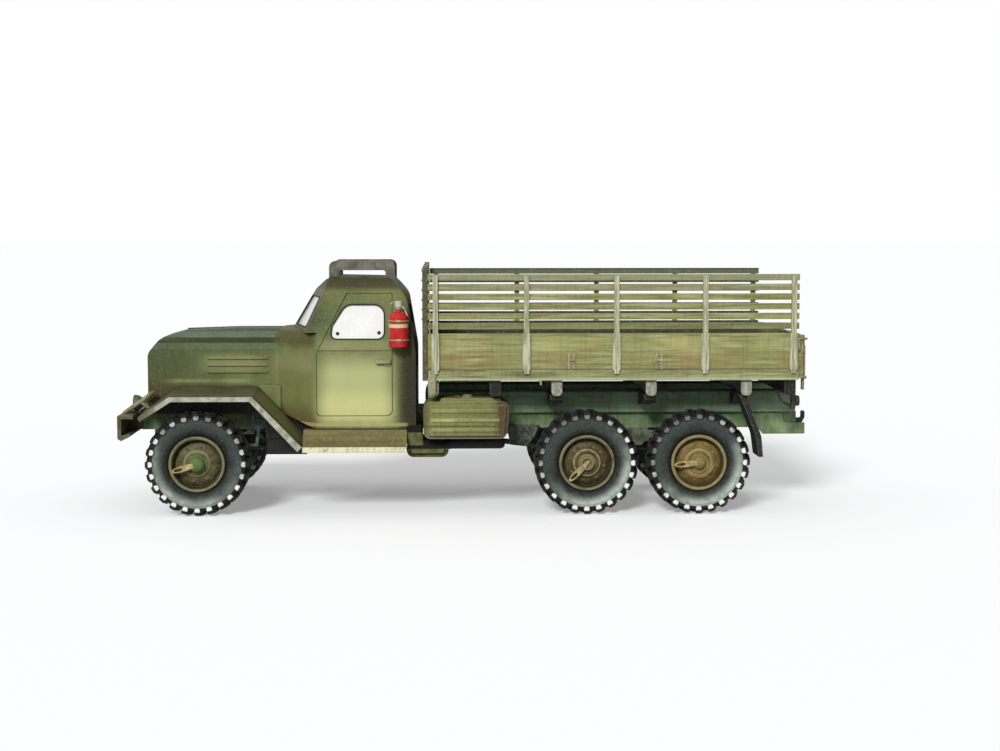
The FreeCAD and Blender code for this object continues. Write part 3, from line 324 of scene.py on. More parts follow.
def body_paint():
    p = Paint("olive_body_paint")
    p.base(p.clouds(8), (88, 95, 52), (116, 121, 72))
    p.lay((84, 110, 66), 0.5, noise=(9, 2, 0.2, 0.55, (0.5, 1, 1.3)))
    # painted highlight: a pale bluish band on the bonnet's hump; painted shade on its very top and
    # in a line at its foot
    p.lay((84, 100, 82), 0.85, x=BONNET, z=(47.4, 48.2))
    p.lay((62, 66, 54), 0.8, x=BONNET, z=(48.9, 49.4))
    p.lay((18, 34, 14), 0.95, x=BONNET, z=HUMP_FOOT_SHADOW)
    p.lay((64, 86, 52), 0.6, x=BONNET, z=(43.6, 46, 0.6))
    p.lay((62, 68, 36), 0.75, x=(-70, -82), z=(48.5, 44))
    p.lay((146, 146, 98), 0.5, x=(-74, -57, 3), z=(38.5, 42.5, 1.2))
    p.lay((158, 158, 104), 0.55, x=(-84, -61, 3), z=(35.2, 36.2, 0.25),
          noise=(5, 2, 0.3, 0.45, UPRIGHT))
    p.lay((74, 56, 30), 0.7, x=(-59.5, -61.5), z=(35.2, 33.9))
    p.lay((130, 133, 80), 0.5, x=COWL, z=(45, 40))
    # painted shade on the cowl's top
    p.lay((72, 68, 36), 0.85, x=COWL, z=(44.5, 47.5))
    p.lay((96, 66, 40), 0.7, x=(-53, -40, 1.5), z=(31.5, 25))
    p.lay((190, 196, 136), 0.9, x=DOOR, z=(26, 42.5, 4.5))
    p.lay((212, 210, 142), 0.8, x=DOOR, z=(24.5, 33, 3))
    p.lay((154, 154, 106), 0.5, x=DOOR, z=(44.8, 47.6, 0.8))
    # painted shade over a brown wash at the cab's rear corner, darkest low down
    p.lay((56, 42, 24), 0.85, x=REAR, z=(62, 52))
    p.lay((36, 32, 14), 0.85, x=REAR, z=(48, 40))
    p.lay((60, 66, 34), 0.7, x=(-34, -42), z=(50, 53))
    p.lay((116, 112, 54), 0.5, z=(55, 59), noise=(5, 3, 0.3))
    # painted shade on the roof
    p.lay((50, 48, 22), 0.9, z=(60.6, 62.4))
    p.lay((112, 88, 48), 0.6, z=(27.5, 22.5), noise=(2.6, 4, 0.25, 0.5, (1, 1, 0.6)))
    p.lay((152, 152, 104), 0.3, x=COWL, z=(39, 44, 1.5))
    p.lay((186, 176, 118), 0.65, x=CAB, z=(24, 24.9, 0.2))
    p.lay((26, 24, 14), 0.85, x=CAB, z=(23.7, 23.3))
    # worn edges stay dark inside the painted shade at the hump's foot and the rear corner
    shaded = p.math("MAXIMUM", p.mask(x=BONNET, z=HUMP_FOOT_SHADOW), p.mask(x=REAR))
    pale = p.blend(p.mask(0.8, shaded), (168, 170, 124), (62, 62, 38))
    return weather(p, pale, streaks=0.03)


olive = body_paint()
print("nodes in the body paint:", len(olive.node_tree.nodes))

# %% [markdown]
# ## Wings, steps and other sheet metal
# The wings are darker on top and their thick outer edge is brushed almost white, as are the lips of
# the running boards. What faces sideways at the very outside is that edge, so its place across the
# lorry is enough to find it.

# %% Paints of the sheet metal
def wing_paint():
    p = Paint("wing_paint")
    p.base(p.clouds(6), (48, 52, 30), (74, 76, 46))
    p.lay((90, 74, 44), 0.55, z=(34, 32), noise=(2.2, 4, 0.25))
    p.lay((106, 106, 60), 0.75, side=(28.8, 26.6), z=(33.6, 32.4), x=(-62, -60))
    p.lay((22, 22, 14), 0.6, side=(29.6, 30.2, 0.15))
    pale_edge = p.blend(p.mask(x=(-82, -88)), (196, 200, 180), (112, 104, 70))
    p.lay(pale_edge, side=(30.75, 30.95), noise=(1.8, 3, 0.5, 0.3))
    p.lay((98, 80, 50), 0.35, noise=(1.6, 4, 0.1, 0.62))
    # painted shade: the inner apron under the wing is near black
    p.lay((18, 18, 13), side=(15.6, 14.7), z=(34, 32.6))
    return weather(p, (176, 178, 152), wear=0.9, depth=0.95)


def step_paint():
    p = Paint("running_board_paint")
    p.base(p.clouds(1.2, 4, 0.3, grain=(0.15, 1, 1)), (66, 58, 20), (118, 108, 48))
    p.lay((92, 66, 32), 0.4, noise=(3, 3, 0.2, 0.55))
    p.lay((122, 122, 74), 0.5, z=(19.6, 22.8))
    p.lay((238, 236, 196), p.band(p.clouds(2.5, 3, 0.5), 0, 0.4), side=(30.6, 30.95))
    return weather(p, (206, 200, 150), wear=0.7)


def tank_paint():
    p = Paint("tank_paint")
    p.base(p.clouds(3, 2, 0.3, grain=ALONG), (104, 110, 62), (142, 144, 86))
    p.lay((128, 104, 58), 0.5, noise=(5, 3, 0.2, 0.56))
    p.lay((72, 46, 26), 0.85, x=(5.8, 8.6))
    p.lay((58, 60, 34), 0.6, x=(-10.4, -12.2))
    pale = p.blend(p.clouds(6, 2, 0.25, grain=(1, 1, 0.3)), (150, 150, 96),
                   (204, 204, 138))
    strong = p.band(p.mask(z=(25.4, 27, 0.3)), 0, 1, 0.4, 1)
    p.lay(pale, 0.8, strong, side=(30.45, 30.75))
    p.lay((66, 72, 30), 0.7, z=(24.3, 24.9, 0.2))
    p.lay((124, 118, 102), 0.8, z=(22.6, 22))
    return weather(p, (198, 194, 150), wear=0.7)


def silencer_paint():
    """Olive hanger, and a shell painted near black as painted shade under the tank."""
    p = Paint("silencer_paint")
    p.base(p.clouds(2, 4), (78, 82, 46), (112, 114, 68))
    hanger = p.mask(x=(-12.5, -12.9), z=(18.9, 22.4, 0.2))
    # painted shade: the shell is near black above its foot, the hanger stays olive
    p.lay((5, 5, 4), p.math("SUBTRACT", p.mask(z=(17.7, 18.1)), hanger))
    return weather(p, (60, 60, 40), streaks=0, wear=0.1, depth=0.5, rough=(0.8, 0.9))


sheet_paints = {
    "front_wings": wing_paint(),
    "running_boards": step_paint(),
    "fuel_tanks": tank_paint(),
    "silencer": silencer_paint(),
    "front_bumper": plain_paint("bumper_paint", (66, 62, 44), (104, 101, 74), (172, 166, 130), 3,
                                wear=0.85),
    "lamp_guards": plain_paint("guard_paint", (112, 106, 76), (156, 154, 120), (196, 192, 158),
                               1.5, reach=1),
    "headlamps": plain_paint("lamp_shell_paint", (66, 72, 48), (98, 104, 72), (160, 160, 126),
                             1.5),
    "roof_rack": plain_paint("rack_paint", (82, 82, 70), (124, 124, 110), (170, 168, 150), 3),
    "mudflaps": plain_paint("mudflap_rubber", (24, 26, 24), (46, 48, 44), (178, 180, 168), 3,
                            wear=0.9, rough=(0.7, 0.9)),
}
print("sheet metal paints:", len(sheet_paints))

# %% [markdown]
# ## Boards of the bed
# The sides are moulded as boards and slats with a wood grain, painted green, then brushed along
# the grain with straw and grey. Noise that is squeezed across and stretched along the board gives
# the grain. The stakes outside stand in front of the boards and are the palest, with upright grain.

# %% Bed paints
def board_paint(name, grain, dark, light, brushed, blot, more=None):
    """Wood whose grain runs along the stretched axis; more(p) adds what one part has alone."""
    p = Paint(name)
    p.base(p.clouds(0.55, 4, 0.16, grain=grain), dark, light)
    p.lay(blot, 0.6, noise=(9, 3, 0.25, 0.55))
    p.lay(brushed, 0.5, noise=(0.8, 3, 0.1, 0.6, grain))
    if more:
        more(p)
    return weather(p, brushed, reach=1.5, depth=0.8, streaks=0.15, wear=0.75, relief=0.05)


def pale_foot(p):
    """The deck's edge beam is brushed pale along its foot."""
    p.lay((186, 194, 150), 0.75, side=(31.2, 31.6), z=(38.2, 37.6))


def boards_and_stakes(p):
    """Tints of each board by its height, then painted shade inside and the pale stakes outside."""
    p.lay((52, 50, 28), 0.7, z=(40.7, 40.2))
    p.lay((150, 124, 70), 0.65, z=(40.5, 44.5, 1.2), noise=(11, 2))
    p.lay((196, 192, 128), 0.6, z=(45, 48.8, 0.8), noise=(8, 3, 0.15, 0.5, (0.6, 1, 1.6)))
    p.lay((148, 154, 132), 0.6, z=(60, 65))
    p.lay((84, 84, 58), 0.5, z=(50.2, 53.2, 0.4))
    p.lay((132, 146, 92), 0.45, noise=(16, 1, 0.25, 0.5, (1, 1, 0.3)))
    # painted shade on the inner faces of the sides, lighter on the top slat
    shade = p.blend(p.mask(z=(64, 65.45, 0.15)), (34, 34, 22), (92, 96, 74))
    p.lay(shade, p.band(p.measure("z"), 44, 46, 0.35, 0.92), side=(31.7, 31.2))
    upright = p.clouds(0.4, 4, 0.16, grain=(1, 1, 0.08))
    p.lay(p.blend(upright, (150, 150, 116), (208, 208, 178)), side=(32.25, 32.4))


def beam_paint():
    """Green bearers whose cross-beam ends, near the lorry's sides, are brushed pale."""
    p = Paint("bed_frame_green")
    p.base(p.clouds(1.2, 4, 0.25, grain=(0.1, 1, 1)), (116, 148, 116), (158, 186, 154))
    p.lay((116, 96, 60), 0.6, noise=(7, 3, 0.15, 0.6))
    # painted shade: near black under the floor and outboard of the bearers
    p.lay((6, 7, 6), p.math("MAXIMUM", p.mask(side=(13.9, 14.3)), p.mask(z=(31.9, 32.7))))
    bare = p.math("SUBTRACT", 1, p.mask(x=(4.5, 9.5, 0.3)))
    pale = p.blend(p.clouds(1.2, 3, 0.3), (120, 116, 96), (186, 188, 172))
    p.lay(pale, bare, side=(30.7, 31), x=(79, 77))
    return weather(p, (160, 170, 146), reach=2, depth=0.8, wear=0.8)


ALONG_X, ALONG_Y = (0.06, 1, 1), (1, 0.06, 1)
bed_paints = {
    "bed_sides": board_paint("side_boards", ALONG_X, (112, 114, 66), (168, 166, 112),
                             (204, 204, 160), (152, 134, 76), boards_and_stakes),
    "bed_floor": board_paint("deck_boards", ALONG_X, (100, 98, 62), (148, 148, 102),
                             (190, 192, 146), (160, 164, 116), pale_foot),
    "headboard": board_paint("headboard_boards", ALONG_Y, (62, 60, 40), (98, 96, 68),
                             (132, 130, 100), (82, 70, 42)),
    "tailgate": board_paint("tailgate_boards", ALONG_Y, (104, 108, 66), (140, 142, 96),
                            (186, 184, 142), (128, 112, 66)),
    "bed_subframe": beam_paint(),
}
print("bed paints:", len(bed_paints))

# %% [markdown]
# ## Underneath and inside
# The frame is a worn green, axles and springs are a darker grey green, and what is in the cab is
# darker still: a worn seat and a black steering wheel. The parts are small, so two-tone paints
# with weathering are enough for them.

# %% Paints below and inside
frame_green = plain_paint("frame_green", (104, 128, 90), (138, 160, 116), (164, 170, 134), 3,
                          reach=3)
drive_metal = plain_paint("drive_metal", (58, 66, 54), (106, 114, 94), (168, 172, 148), 2,
                          reach=2, wear=0.9)
seat_cover = plain_paint("seat_leather", (58, 42, 28), (86, 64, 42), (120, 98, 72), 2,
                         wear=0.4, rough=(0.45, 0.6))
black_plastic = plain_paint("black_plastic", (20, 20, 20), (34, 34, 33), (80, 80, 76), 2,
                            wear=0.3, rough=(0.35, 0.5))
hook_steel = plain_paint("hook_steel", (40, 38, 34), (70, 66, 56), (140, 134, 118), 1.5,
                         wear=0.8, rough=(0.35, 0.6))


def extinguisher_paint():
    """Glossy red bottle with a blank cream band, and a pale valve on top."""
    p = Paint("extinguisher_red")
    p.base(p.clouds(2.5), (176, 22, 24), (212, 40, 36))
    p.lay((226, 208, 160), z=(51.3, 52.3, 0.12))
    p.lay((190, 200, 180), z=(56.2, 56.6))
    return weather(p, (236, 150, 130), wash=(86, 12, 10), reach=1.2, wear=0.4, streaks=0.15,
                   rough=(0.25, 0.4), relief=0.01)


running_gear = ("engine_block", "transfer_case", "front_axle", "mid_axle", "rear_axle",
                "leaf_springs", "propeller_shafts", "tie_rod", "steering_knuckle_left",
                "steering_knuckle_right")
cab_body = ("hood_top", "hood_sides", "radiator_grille", "cowl", "windscreen_frame", "cab_roof",
            "cab_rear_wall", "doors")
paint_of = {
    **dict.fromkeys(cab_body, olive), **sheet_paints, **bed_paints,
    **dict.fromkeys(running_gear, drive_metal), "chassis_frame": frame_green,
    "cab_floor": frame_green, "tow_hooks": hook_steel, "seats": seat_cover,
    "steering_wheel": black_plastic, "fire_extinguisher": extinguisher_paint(),
}
for name, paint in paint_of.items():
    for place in nodes[name].material_slots:
        place.material = paint
print("painted CAD parts:", len(paint_of), "left:", sorted(set(nodes) - set(paint_of)))

# %% [markdown]
# ## Tools for making shapes
# The finer parts are built as meshes in millimetres and put in place at the end. A few helpers do
# most of the work: skin() joins rings of points, spun() turns an outline about an axle, moved()
# turns, mirrors and shifts a mesh, and piece() makes one object that rides on a body of the model.

# %% Mesh helpers
SIDES = (("left", -1), ("right", 1))
QUARTER = math.pi / 2
# how to turn a spun shape, which faces outboard, so that it faces forward, backward or up
FRONT, BACK, UP = [dict(turn=turn, axis=axis)
                   for turn, axis in ((-QUARTER, "Z"), (QUARTER, "Z"), (-QUARTER, "X"))]


def mesh_of(shape, smooth=35):
    """A plain mesh from a bmesh, with faces that point outwards and smooth shading."""
    bmesh.ops.remove_doubles(shape, verts=shape.verts, dist=1e-5)
    bmesh.ops.recalc_face_normals(shape, faces=shape.faces)
    mesh = bpy.data.meshes.new("made")
    shape.to_mesh(mesh)
    shape.free()
    for face in mesh.polygons:
        face.use_smooth = True
    mesh.set_sharp_from_angle(angle=math.radians(smooth))
    return mesh


def skin(rings, closed=False):
    """A bmesh whose faces join each ring of points to the next one. Open ends are capped."""
    shape = bmesh.new()
    rows = [[shape.verts.new(point) for point in ring] for ring in rings]
    for a, b in list(zip(rows, rows[1:])) + ([(rows[-1], rows[0])] if closed else []):
        for k in range(len(a)):
            shape.faces.new((a[k - 1], a[k], b[k], b[k - 1]))
    if not closed:
        shape.faces.new(rows[0])
        shape.faces.new(rows[-1])
    return shape


def turns(count):
    """Angles that share one full turn evenly."""
    return [2 * math.pi * k / count for k in range(count)]


def spun(profile, steps):
    """A closed outline of (radius, distance out) turned about the axle; outboard is -Y."""
    return mesh_of(skin([[(r * math.sin(turn), -out, r * math.cos(turn)) for r, out in profile]
                         for turn in turns(steps)], closed=True))


def moved(mesh, x=0, y=0, z=0, turn=0, axis="Y", mirror=False):
    """A copy of a mesh, turned about an axis, mirrored across the lorry, then moved."""
    copy = mesh.copy()
    copy.transform(Matrix.Rotation(turn, 4, axis))
    if mirror:
        copy.transform(Matrix.Scale(-1, 4, Vector((0, 1, 0))))
        copy.flip_normals()
    copy.transform(Matrix.Translation((x, y, z)))
    return copy


def piece(name, parts, body, replaced=()):
    """One object from (mesh, paint) parts in millimetres, riding on a body."""
    paints, shape = [], bmesh.new()
    for mesh, paint in parts:
        if paint not in paints:
            paints.append(paint)
        before = len(shape.faces)
        shape.from_mesh(mesh)
        shape.faces.ensure_lookup_table()
        for face in shape.faces[before:]:
            face.material_index = paints.index(paint)
    mesh = bpy.data.meshes.new(name)
    shape.to_mesh(mesh)
    shape.free()
    mesh.transform(Matrix.Scale(MM, 4))
    for paint in paints:
        mesh.materials.append(paint)
    made = linked(name, mesh)
    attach(made, body)
    if replaced:
        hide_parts(*replaced)
    return made


print("mesh helpers ready")

# %% [markdown]
# ## Node trees that repeat a part
# Lugs, wheel nuts and bolts are the same small part many times over. Geometry Nodes do this
# better than a loop: one tree copies a part round an axle, another sets a part at each vertex of
# a mesh of marks, facing the way that the mark's "facing" attribute says. Both end in real
# geometry with a material.

# %% Two repeating trees
def new_tree(name, inputs):
    """An empty tree with these inputs, and the sockets that they arrive at."""
    tree = bpy.data.node_groups.new(name, "GeometryNodeTree")
    tree.is_modifier = True
    for label, kind in inputs:
        tree.interface.new_socket(label, in_out="INPUT", socket_type="NodeSocket" + kind)
    tree.interface.new_socket("Geometry", in_out="OUTPUT", socket_type="NodeSocketGeometry")
    return tree, tree.nodes.new("NodeGroupInput").outputs


def close_tree(tree, instances, paint):
    """Turns the copies into real geometry with a material, and ends the tree."""
    solid = add_node(tree, "GeometryNodeRealizeInstances", {0: instances})
    painted = add_node(tree, "GeometryNodeSetMaterial", {"Geometry": solid, "Material": paint})
    add_node(tree, "NodeGroupOutput", {0: painted})


ring_tree, given = new_tree("copies_round_an_axle",
                            (("Part", "Geometry"), ("Count", "Int"), ("Start turn", "Float"),
                             ("Paint", "Material")))
share = add_node(ring_tree, "ShaderNodeMath", {0: 2 * math.pi, 1: given["Count"]},
                 operation="DIVIDE")
number = add_node(ring_tree, "GeometryNodeInputIndex")
turn = add_node(ring_tree, "ShaderNodeMath", {0: number, 1: share, 2: given["Start turn"]},
                operation="MULTIPLY_ADD")
about_y = add_node(ring_tree, "ShaderNodeCombineXYZ", {"Y": turn})
spin = add_node(ring_tree, "FunctionNodeEulerToRotation", {0: about_y})
middle = add_node(ring_tree, "GeometryNodePoints", {"Count": given["Count"]})
copies = add_node(ring_tree, "GeometryNodeInstanceOnPoints",
                  {"Points": middle, "Instance": given["Part"], "Rotation": spin})
close_tree(ring_tree, copies, given["Paint"])

mark_tree, given = new_tree("part_at_each_mark", (("Marks", "Geometry"), ("Part", "Object"),
                                                  ("Paint", "Material")))
facing = add_node(mark_tree, "GeometryNodeInputNamedAttribute", {"Name": "facing"},
                  data_type="FLOAT_VECTOR")
aim = add_node(mark_tree, "FunctionNodeAlignRotationToVector", {"Vector": facing}, axis="Z")
part = add_node(mark_tree, "GeometryNodeObjectInfo", {"Object": given["Part"]}, "Geometry")
copies = add_node(mark_tree, "GeometryNodeInstanceOnPoints",
                  {"Points": given["Marks"], "Instance": part, "Rotation": aim})
close_tree(mark_tree, copies, given["Paint"])


def grown(mesh, tree, **inputs):
    """Runs a tree on a mesh and returns the result as a plain mesh."""
    carrier = linked("carrier", mesh)
    modifier = carrier.modifiers.new("grow", "NODES")
    modifier.node_group = tree
    for socket in tree.interface.items_tree:
        key = socket.name.replace(" ", "_").lower()
        if socket.in_out == "INPUT" and key in inputs:
            modifier[socket.identifier] = inputs[key]
    depsgraph = bpy.context.evaluated_depsgraph_get()
    result = bpy.data.meshes.new_from_object(carrier.evaluated_get(depsgraph),
                                             depsgraph=depsgraph)
    carrier.modifiers.remove(modifier)
    bpy.data.objects.remove(carrier)
    return result


print("trees:", [tree.name for tree in bpy.data.node_groups])

# %% [markdown]
# ## Tyres
# The tyres are the liveliest part: a rounded carcass with a deep groove beside the rim, and bars
# of rubber that run from the middle of the tread over the shoulder. The carcass is an outline
# turned about the axle. One bar is built from listed sections, and the ring tree copies it 24 times
# for each shoulder. Dry brushing has left the shoulders almost white, so each vertex keeps its
# distance from the axle and how far out it lies, and the rubber's paint reads both.

# %% Rubber paint
LUG_DOT = 12.72  # distance from the axle to the middle of a lug's worn shoulder


def rubber_paint():
    p = Paint("tyre_rubber")
    p.base(p.clouds(3), (30, 32, 31), (58, 61, 58))
    flank, lug, across = p.mask(out=(3.4, 4)), p.measure("lug"), p.measure("across")
    uneven = p.mask(0.6, noise=(5, 3, 0.4))
    # dust and a painted highlight: one lower side of each sidewall is paler
    bright = p.band(p.math("ADD", p.measure("dusty"), uneven), 0, 1.35)
    cover = p.band(p.clouds(1.6, 4, 0.3, 0.42), 0, 1, 0.6, 1)
    p.lay(p.blend(bright, (56, 62, 60), (196, 208, 196)), flank, cover, radius=(8.8, 11.4))
    aside = p.math("SUBTRACT", p.measure("radius"), LUG_DOT)
    from_dot = p.math("SQRT", p.math("ADD", p.mask(aside, aside), p.mask(across, across)))
    tip = p.mask(lug, p.band(from_dot, 0.86, 0.66))
    # dry-brushed lug tips, whiter on the side of the painted highlight
    wear_and_highlight = p.band(p.math("ADD", p.measure("dusty"), p.clouds(2.5, soft=0.4)), -0.5, 0.9)
    ragged = p.band(p.clouds(0.6, 3, 0.2, 0.36), 0, 1, 0.5, 1)
    p.lay(p.blend(wear_and_highlight, (112, 116, 114), (250, 252, 246)), tip, ragged, flank)
    # the rubber's black deepened as painted shade on the tread beyond the worn tips
    p.lay((15, 15, 14), p.math("SUBTRACT", 1, tip), radius=(11.9, 12.2))
    p.lay((120, 120, 110), 0.25, lug, radius=(14, 14.2), noise=(0.9, 3))
    # painted shade in the groove beside the rim
    p.lay((20, 23, 21), 0.9, radius=(9.2, 8.2))
    return weather(p, (150, 154, 146), wash=(14, 14, 13), reach=1.2, wear=0.2, streaks=0,
                   rough=(0.6, 0.85), relief=0.04)


rubber = rubber_paint()
print("nodes in the rubber:", len(rubber.node_tree.nodes))

# %% Carcass and one bar
tyre_side = ((7.3, 2.9), (7.7, 3.1), (8.15, 3.5), (8.7, 3.86), (9.1, 4.02), (9.2, 4.16),
             (9.45, 4.22), (10, 4.3), (10.6, 4.33), (11.2, 4.29), (11.5, 4.26), (11.6, 4.1),
             (12.1, 3.95), (12.6, 3.72), (12.95, 3.3), (13.05, 2.4))
tyre_outline = tyre_side + tuple((r, -out) for r, out in reversed(tyre_side))
carcass = spun(tyre_outline, 96)

# columns: distance out, radius of the top, radius of the foot, half width, lead
bar_sections = ((0.25, 14.18, 12.7, 0.62, -1.35), (1.1, 14.21, 12.7, 0.7, -1),
                (2.3, 14.21, 12.7, 0.8, -0.45), (3.25, 14.14, 12.6, 0.86, -0.1),
                (3.8, 13.9, 12.3, 0.88, 0), (4.15, 13.5, 12.2, 0.86, 0),
                (4.32, 12.95, 12, 0.8, 0), (4.34, 12.4, 11.8, 0.7, 0),
                (4.28, 12, 11.7, 0.5, 0))


def shoulder_bar():
    """Bar of the tread at the top of the tyre, from its middle round to the sidewall."""
    sections = []
    for i, (out, top, foot, half, lead) in enumerate(bar_sections):
        inner = max(out - 0.5, 0.25) if i > 3 else out
        corners = ((-half * 1.1, inner, foot), (-half, out, top - 0.22), (-half + 0.2, out, top),
                   (half - 0.2, out, top), (half, out, top - 0.22), (half * 1.1, inner, foot))
        sections.append([(x + lead, -y, z) for x, y, z in corners])
    return mesh_of(skin(sections), 50)


LUGS = 24
bar = shoulder_bar()
outer_bars = grown(bar, ring_tree, count=LUGS, start_turn=0.0, paint=rubber)
inner_bars = grown(moved(bar, mirror=True), ring_tree, count=LUGS, start_turn=math.pi / LUGS,
                   paint=rubber)
print("faces: carcass", len(carcass.polygons), "bars", len(outer_bars.polygons) * 2)

# %% [markdown]
# ## Wheels
# Each wheel is one outline turned about its axle: a domed hub, raised rings, a dished disc, and a
# rolled rim. The hubs differ from axle to axle. Nuts are copied round by the ring tree, and a
# slotted arm that brings air to the tyre crosses the disc.

# %% Wheel shapes
rim_outline = ((5.2, 2.45), (5.8, 2.05), (6.2, 1.6), (6.45, 1.5), (6.54, 1.9), (6.55, 3.2),
               (6.62, 3.7), (6.82, 4), (7.12, 4.13), (7.42, 4.12), (7.6, 3.96), (7.64, 3.76),
               (7.55, 3.62), (7.28, 3.5), (7.15, 3.3), (7.15, -3.3), (7.28, -3.5),
               (7.6, -3.62), (7.64, -3.8), (7.45, -4.08), (7.12, -4.13), (6.82, -4),
               (6.6, -3.7), (6.55, -3.2), (6.45, 0.5), (5.6, 0.9), (2.5, 1.35), (2.5, -2.1),
               (1, -2.1), (1, 2.3), (0, 2.3))
hub_outlines = {
    "front": ((0, 5.5), (0.7, 5.45), (1.3, 5.28), (1.8, 4.95), (2.1, 4.45), (2.2, 3.9),
              (2.25, 3.5), (2.8, 3.44), (3.4, 3.38), (3.6, 3.15), (3.68, 2.8), (4.2, 2.62)),
    "mid": ((0, 4.5), (1.05, 4.5), (1.2, 4.6), (1.22, 5), (1.35, 5.18), (1.75, 5.18),
            (1.88, 5), (1.9, 3.6), (2.55, 3.5), (2.7, 3.76), (2.95, 3.8), (3.12, 3.6),
            (3.2, 3.3), (3.95, 3.16), (4.2, 2.95), (4.3, 2.65)),
    "rear": ((0, 5.2), (0.7, 5.12), (1.3, 4.86), (1.75, 4.4), (1.92, 3.9), (1.95, 3.6),
             (2.55, 3.5), (2.7, 3.74), (2.98, 3.76), (3.15, 3.5), (3.9, 3.24), (4.1, 3.42),
             (4.4, 3.4), (4.5, 2.8)),
}
# columns: colour of the disc, of its light patches and of the hub
wheel_colours = {
    "front": ((56, 60, 36), (92, 92, 58), (86, 110, 60)),
    "mid": ((48, 46, 26), (84, 76, 48), (124, 118, 80)),
    "rear": ((102, 86, 46), (144, 122, 68), (132, 116, 66)),
}


def wheel_paint(axle):
    p = Paint("wheel_paint_" + axle)
    disc, patches, hub = wheel_colours[axle]
    p.base(p.clouds(2, 4), disc, patches)
    p.lay((108, 76, 48), 0.4, radius=(3.7, 6.5, 0.3), noise=(1.4, 4, 0.1, 0.55))
    p.lay(hub, radius=(2.5, 2.3))
    p.lay((176, 160, 110), 0.6, radius=(3.3, 3.75, 0.1))
    # painted shade in the rim's well
    p.lay((30, 27, 17), 0.75, radius=(6.2, 6.75, 0.15))
    p.lay((146, 142, 108), 0.8, radius=(6.8, 7.05), noise=(2.5, 3, 0.4, 0.45))
    return weather(p, (196, 182, 132), reach=0.9, wear=0.5, streaks=0, rough=(0.5, 0.7))


arm_paint = plain_paint("air_arm_paint", (150, 134, 88), (196, 180, 128), (226, 214, 166), 1.5,
                        reach=0.8, streaks=0)


def hex_nut(radius, height):
    """Six-sided nut on the ring's top, with its corners taken off."""
    rows = ((1, 0), (1, height * 0.75), (0.78, height))
    return mesh_of(skin([[(radius * share * math.cos(turn), -out, radius * share * math.sin(turn))
                          for turn in turns(6)] for share, out in rows]), 20)


def air_arm(start, reach, low, high):
    """Flat arm with a long slot at its outer end, pointing forward from the hub."""
    rings = []
    for turn in turns(28):
        across, along = math.sin(turn), math.cos(turn)
        half = 0.62 + 0.42 * (along * 0.5 + 0.5)
        rim, slot = [], []
        for inset, out in ((0, low), (0, high - 0.18), (0.14, high)):
            x = (start + reach) / 2 + along * ((reach - start) / 2 - inset)
            rim.append((-x, -out, across * (half - inset)))
            x = reach - 1.9 + along * (1.2 + inset)
            slot.append((-x, -out, across * (0.46 + inset)))
        rings.append(rim + slot[::-1])
    return mesh_of(skin(rings, closed=True), 40)


def keep_wheel_sizes(made, x, z, lugs_from=None):
    """Stores each vertex's distance from the axle and from the wheel's middle plane, in mm."""
    mesh = made.data
    place = np.zeros(len(mesh.vertices) * 3)
    mesh.vertices.foreach_get("co", place)
    place = place.reshape(-1, 3) / MM
    radius = np.hypot(place[:, 0] - x, place[:, 2] - z)
    out = np.abs(np.abs(place[:, 1]) - HALF_TRACK)
    columns = {"radius": radius, "out": out}
    if lugs_from:
        columns["lug"] = np.zeros(len(radius))
        columns["lug"][lugs_from:] = 1
        share = np.arctan2(place[:, 0] - x, place[:, 2] - z) * LUGS / (2 * math.pi)
        outer = np.abs(place[:, 1]) > HALF_TRACK
        share += np.where(outer, 0, 0.5)
        columns["across"] = np.abs(share - np.round(share)) * 2 * math.pi / LUGS * radius
        back, down = (-0.2, -0.6) if x < 0 else (0.6, -0.9)  # the side on which dust lies and a painted highlight falls
        columns["dusty"] = (back * (place[:, 0] - x) + down * (place[:, 2] - z)) / 12
    for name, values in columns.items():
        mesh.attributes.new(name, "FLOAT", "POINT").data.foreach_set(
            "value", values.astype(np.float32))

# %% Six wheels with their tyres
low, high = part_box("tyre_front_left")
AXLE_Z = (low.z + high.z) / 2 / MM
HALF_TRACK = abs(low.y + high.y) / 2 / MM
AXLE_X, DISC_NUTS = {}, 8
# columns: axle, how far the hub stands out, turn of the arm, nuts on the hub
AXLES = (("front", 5.5, -16, 0), ("mid", 5.2, -45, 10), ("rear", 5.2, -5, 0))
for axle, hub_out, arm_turn, hub_nuts in AXLES:
    paint = wheel_paint(axle)
    disc = spun(hub_outlines[axle] + rim_outline, 72)
    nuts = grown(moved(hex_nut(0.42, 0.55), y=-2.35, z=4.85), ring_tree, count=DISC_NUTS,
                 start_turn=0.2, paint=paint)
    parts = [(disc, paint), (nuts, paint),
             (moved(air_arm(-1.2, 6.9, 4.12, hub_out - 0.1), turn=math.radians(arm_turn)),
              arm_paint)]
    if hub_nuts:
        small = grown(moved(hex_nut(0.22, 0.3), y=-3.2, z=3.6), ring_tree, count=hub_nuts,
                      start_turn=0.1, paint=paint)
        parts.append((small, paint))
    low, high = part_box("tyre_%s_left" % axle)
    x = (low.x + high.x) / 2 / MM
    AXLE_X[axle] = x - LEAD
    for side, sign in SIDES:
        where = dict(x=x, y=sign * HALF_TRACK, z=AXLE_Z, mirror=sign > 0)
        body = "wheel_%s_%s" % (axle, side)
        wheel = piece("rim_%s_%s" % (axle, side), [(moved(m, **where), f) for m, f in parts],
                      body, [body])
        keep_wheel_sizes(wheel, x, AXLE_Z)
        rubber_parts = [(moved(m, **where), rubber) for m in (carcass, outer_bars, inner_bars)]
        tyre = piece("rubber_%s_%s" % (axle, side), rubber_parts, body,
                     ["tyre_%s_%s" % (axle, side)])
        keep_wheel_sizes(tyre, x, AXLE_Z, len(carcass.vertices))
